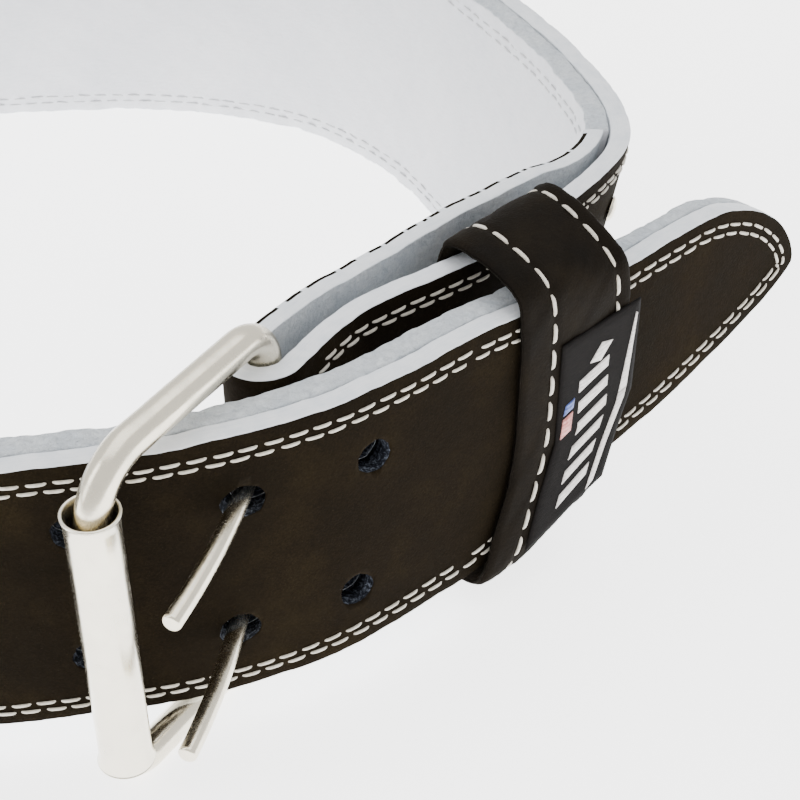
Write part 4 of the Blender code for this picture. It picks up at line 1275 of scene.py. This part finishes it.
def build_roller():
    """Rolled tube: flared rims, a soft edge at both ends."""
    outer = ROLLER_DIAMETER / 2
    bore = outer - ROLLER_WALL
    half = ROLLER_LENGTH / 2
    rim = ROLLER_RIM_LENGTH
    edge = ROLLER_WALL / 2
    steps = 8

    def flare(t):
        return ROLLER_RIM * t ** 1.6

    body = [(outer, -half + rim + (2 * half - 2 * rim) * k / 12) for k in range(13)]
    high = [(outer + flare(k / steps), half - rim * (1 - k / steps)) for k in range(1, steps)]
    wide = outer + ROLLER_RIM
    tip_high = [(wide - edge + edge * math.cos(a), half - edge + edge * math.sin(a))
                for a in np.linspace(0.2, math.pi, 9)]
    inner_high = [(bore + flare(k / steps), half - rim * (1 - k / steps)) for k in range(steps - 1, -1, -1)]
    low, tip_low, inner_low = ([(r, -z) for r, z in reversed(part)] for part in (high, tip_high, inner_high))
    profile = low + body + high + tip_high + inner_high[1:] + inner_low[:-1] + tip_low
    points = lathe(profile, ROLLER_SIDES, ROLLER_CENTRE, (0.0, 0.0, 1.0))
    piece = new_object("roller_tube", points, ring_faces(len(profile), ROLLER_SIDES), [TUBE])
    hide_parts("roller")
    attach(piece, "roller")


def build_prongs():
    """Eye round the rear bar, then a shaft out through the hole, bowed beyond it and rounded at its end."""
    half = PRONG_DIAMETER / 2
    for name, node, line in (("prong_wire_lower", "prong_lower", prong_lines[0]),
                             ("prong_wire_upper", "prong_upper", prong_lines[1])):
        points = [REAR + eye_radius() * heading(line.leave - EYE_TURN * (1.0 - k / 48)) for k in range(48)]
        points += [line.shaft(k / 16) for k in range(16)] + [line.inside]
        for k in range(41):
            share = k / 40
            points.append(line.mouth + line.away * PRONG_PAST_HOLE * share - line.side * PRONG_BOW * share * share)
        flat = np.array(points) + SHIFT
        path = np.concatenate([flat, np.full((len(flat), 1), line.height + lift_at(REAR[1]))], axis=1)
        tail = path[-1] - path[-2]
        tail = tail / np.linalg.norm(tail)
        base = path[-1] - tail * PRONG_ROUND
        path = path[:-1]
        path = path[((path - base) @ tail < 0) | (np.arange(len(path)) < len(path) - 6)]
        turns = np.linspace(0.0, math.pi / 2, 6)
        radius = np.concatenate([np.full(len(path), half), half - PRONG_ROUND * (1 - np.cos(turns))])
        radius[0] *= 0.8
        path = np.vstack([path, base + tail * PRONG_ROUND * np.sin(turns)[:, None]])
        verts = tube(path, radius, PRONG_SIDES, (0.0, 0.0, 1.0))
        piece = new_object(name, verts, rod_faces(len(path), PRONG_SIDES), [METAL])
        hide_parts(node)
        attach(piece, "belt")


def build_rivets():
    """Domed heads on the skin and flat ones on the flap."""
    places, axis, stack = rivet_stack()
    head = RIVET_HEAD / 2
    shank = RIVET_SHANK / 2
    front = TOUCH_GAP - 0.1 * MM
    back = -stack - TOUCH_GAP
    turns = np.linspace(math.pi / 2 - 0.02, 0, 12)
    profile = [(head * math.cos(a), TOUCH_GAP + RIVET_DOME * math.sin(a)) for a in turns]
    profile += [(head * 0.97, front), (shank, front), (shank, back), (head * 0.8, back)]
    profile += [(head * wide, back - RIVET_DOME * deep) for wide, deep in ((0.78, 0.35), (0.6, 0.55), (0.02, 0.6))]
    for name, node, place in zip(("rivet_cap_upper", "rivet_cap_lower"), ("rivet_upper", "rivet_lower"), places):
        points = lathe(profile, RIVET_SIDES, place, axis)
        piece = new_object(name, points, rod_faces(len(profile), RIVET_SIDES), [METAL])
        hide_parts(node)
        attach(piece, "belt")


# Stage

def build_floor():
    n = Nodes("pale_floor")
    soft = n.noise(n.object_place(), 3.0, 2.0, 0.5)
    n.set(Base_Color=n.ramp(soft, [(0.3, (0.90, 0.90, 0.90)), (0.7, (0.92, 0.92, 0.92))]), Roughness=0.9,
          Specular_IOR_Level=0.1, Emission_Color=(1.0, 1.0, 1.0, 1.0), Emission_Strength=FLOOR_GLOW)
    verts = [(-6, -6, 0), (6, -6, 0), (6, 6, 0), (-6, 6, 0)]
    floor = new_object("floor", verts, [(0, 1, 2, 3)], [n.material], solid=False)


def area_light(name, place, target, size, power, size_y=None):
    light = bpy.data.lights.new(name, "AREA")
    light.energy = power
    light.size = size
    if size_y:
        light.shape = "RECTANGLE"
        light.size_y = size_y
    lamp = bpy.data.objects.new(name, light)
    lamp.location = place
    lamp.rotation_euler = (Vector(target) - Vector(place)).to_track_quat("-Z", "Y").to_euler()
    bpy.context.scene.collection.objects.link(lamp)


def build_light():
    """White surroundings, a soft box above and a strip on the left."""
    world = bpy.data.worlds.new("soft_studio")
    bpy.context.scene.world = world
    world.use_nodes = True
    world.node_tree.nodes["Background"].inputs["Color"].default_value = (1.0, 1.0, 1.0, 1.0)
    world.node_tree.nodes["Background"].inputs["Strength"].default_value = WORLD_STRENGTH
    area_light("top_soft_box", (0.1, 0.25, 1.6), (0.0, 0.0, 0.0), 1.6, 14.0)
    area_light("left_strip", (-1.2, -0.5, 0.9), (0.0, -0.1, 0.05), 0.5, 7.0, size_y=1.4)


def build_camera():
    """Camera looking along +Y and down, fitted to the strap's edges, stitches and holes."""
    right = Vector((1.0, 0.0, 0.0))
    up = Vector((0.0, math.sin(CAMERA_PITCH), math.cos(CAMERA_PITCH)))
    ahead = Vector((0.0, math.cos(CAMERA_PITCH), -math.sin(CAMERA_PITCH)))
    across = right * math.cos(CAMERA_ROLL) + up * math.sin(CAMERA_ROLL)
    upward = up * math.cos(CAMERA_ROLL) - right * math.sin(CAMERA_ROLL)
    data = bpy.data.cameras.new("photo_camera")
    data.sensor_width = SENSOR_WIDTH
    data.lens = SENSOR_WIDTH * FOCAL_PIXELS / PICTURE_PIXELS
    data.clip_start = 0.01
    camera = bpy.data.objects.new("photo_camera", data)
    place = Vector((CAMERA_PLACE[0] + SHIFT[0], CAMERA_PLACE[1] + SHIFT[1], CAMERA_PLACE[2] + LIFT))
    rotation = Matrix((across, upward, -ahead)).transposed().to_4x4()
    camera.matrix_world = Matrix.Translation(place) @ rotation
    bpy.context.scene.collection.objects.link(camera)
    bpy.context.scene.camera = camera


build_outer()
build_lining()
build_strap_stitches()
build_keeper()
build_keeper_stitches()
build_label()
build_frame()
build_roller()
build_prongs()
build_rivets()
build_floor()
build_light()
build_camera()
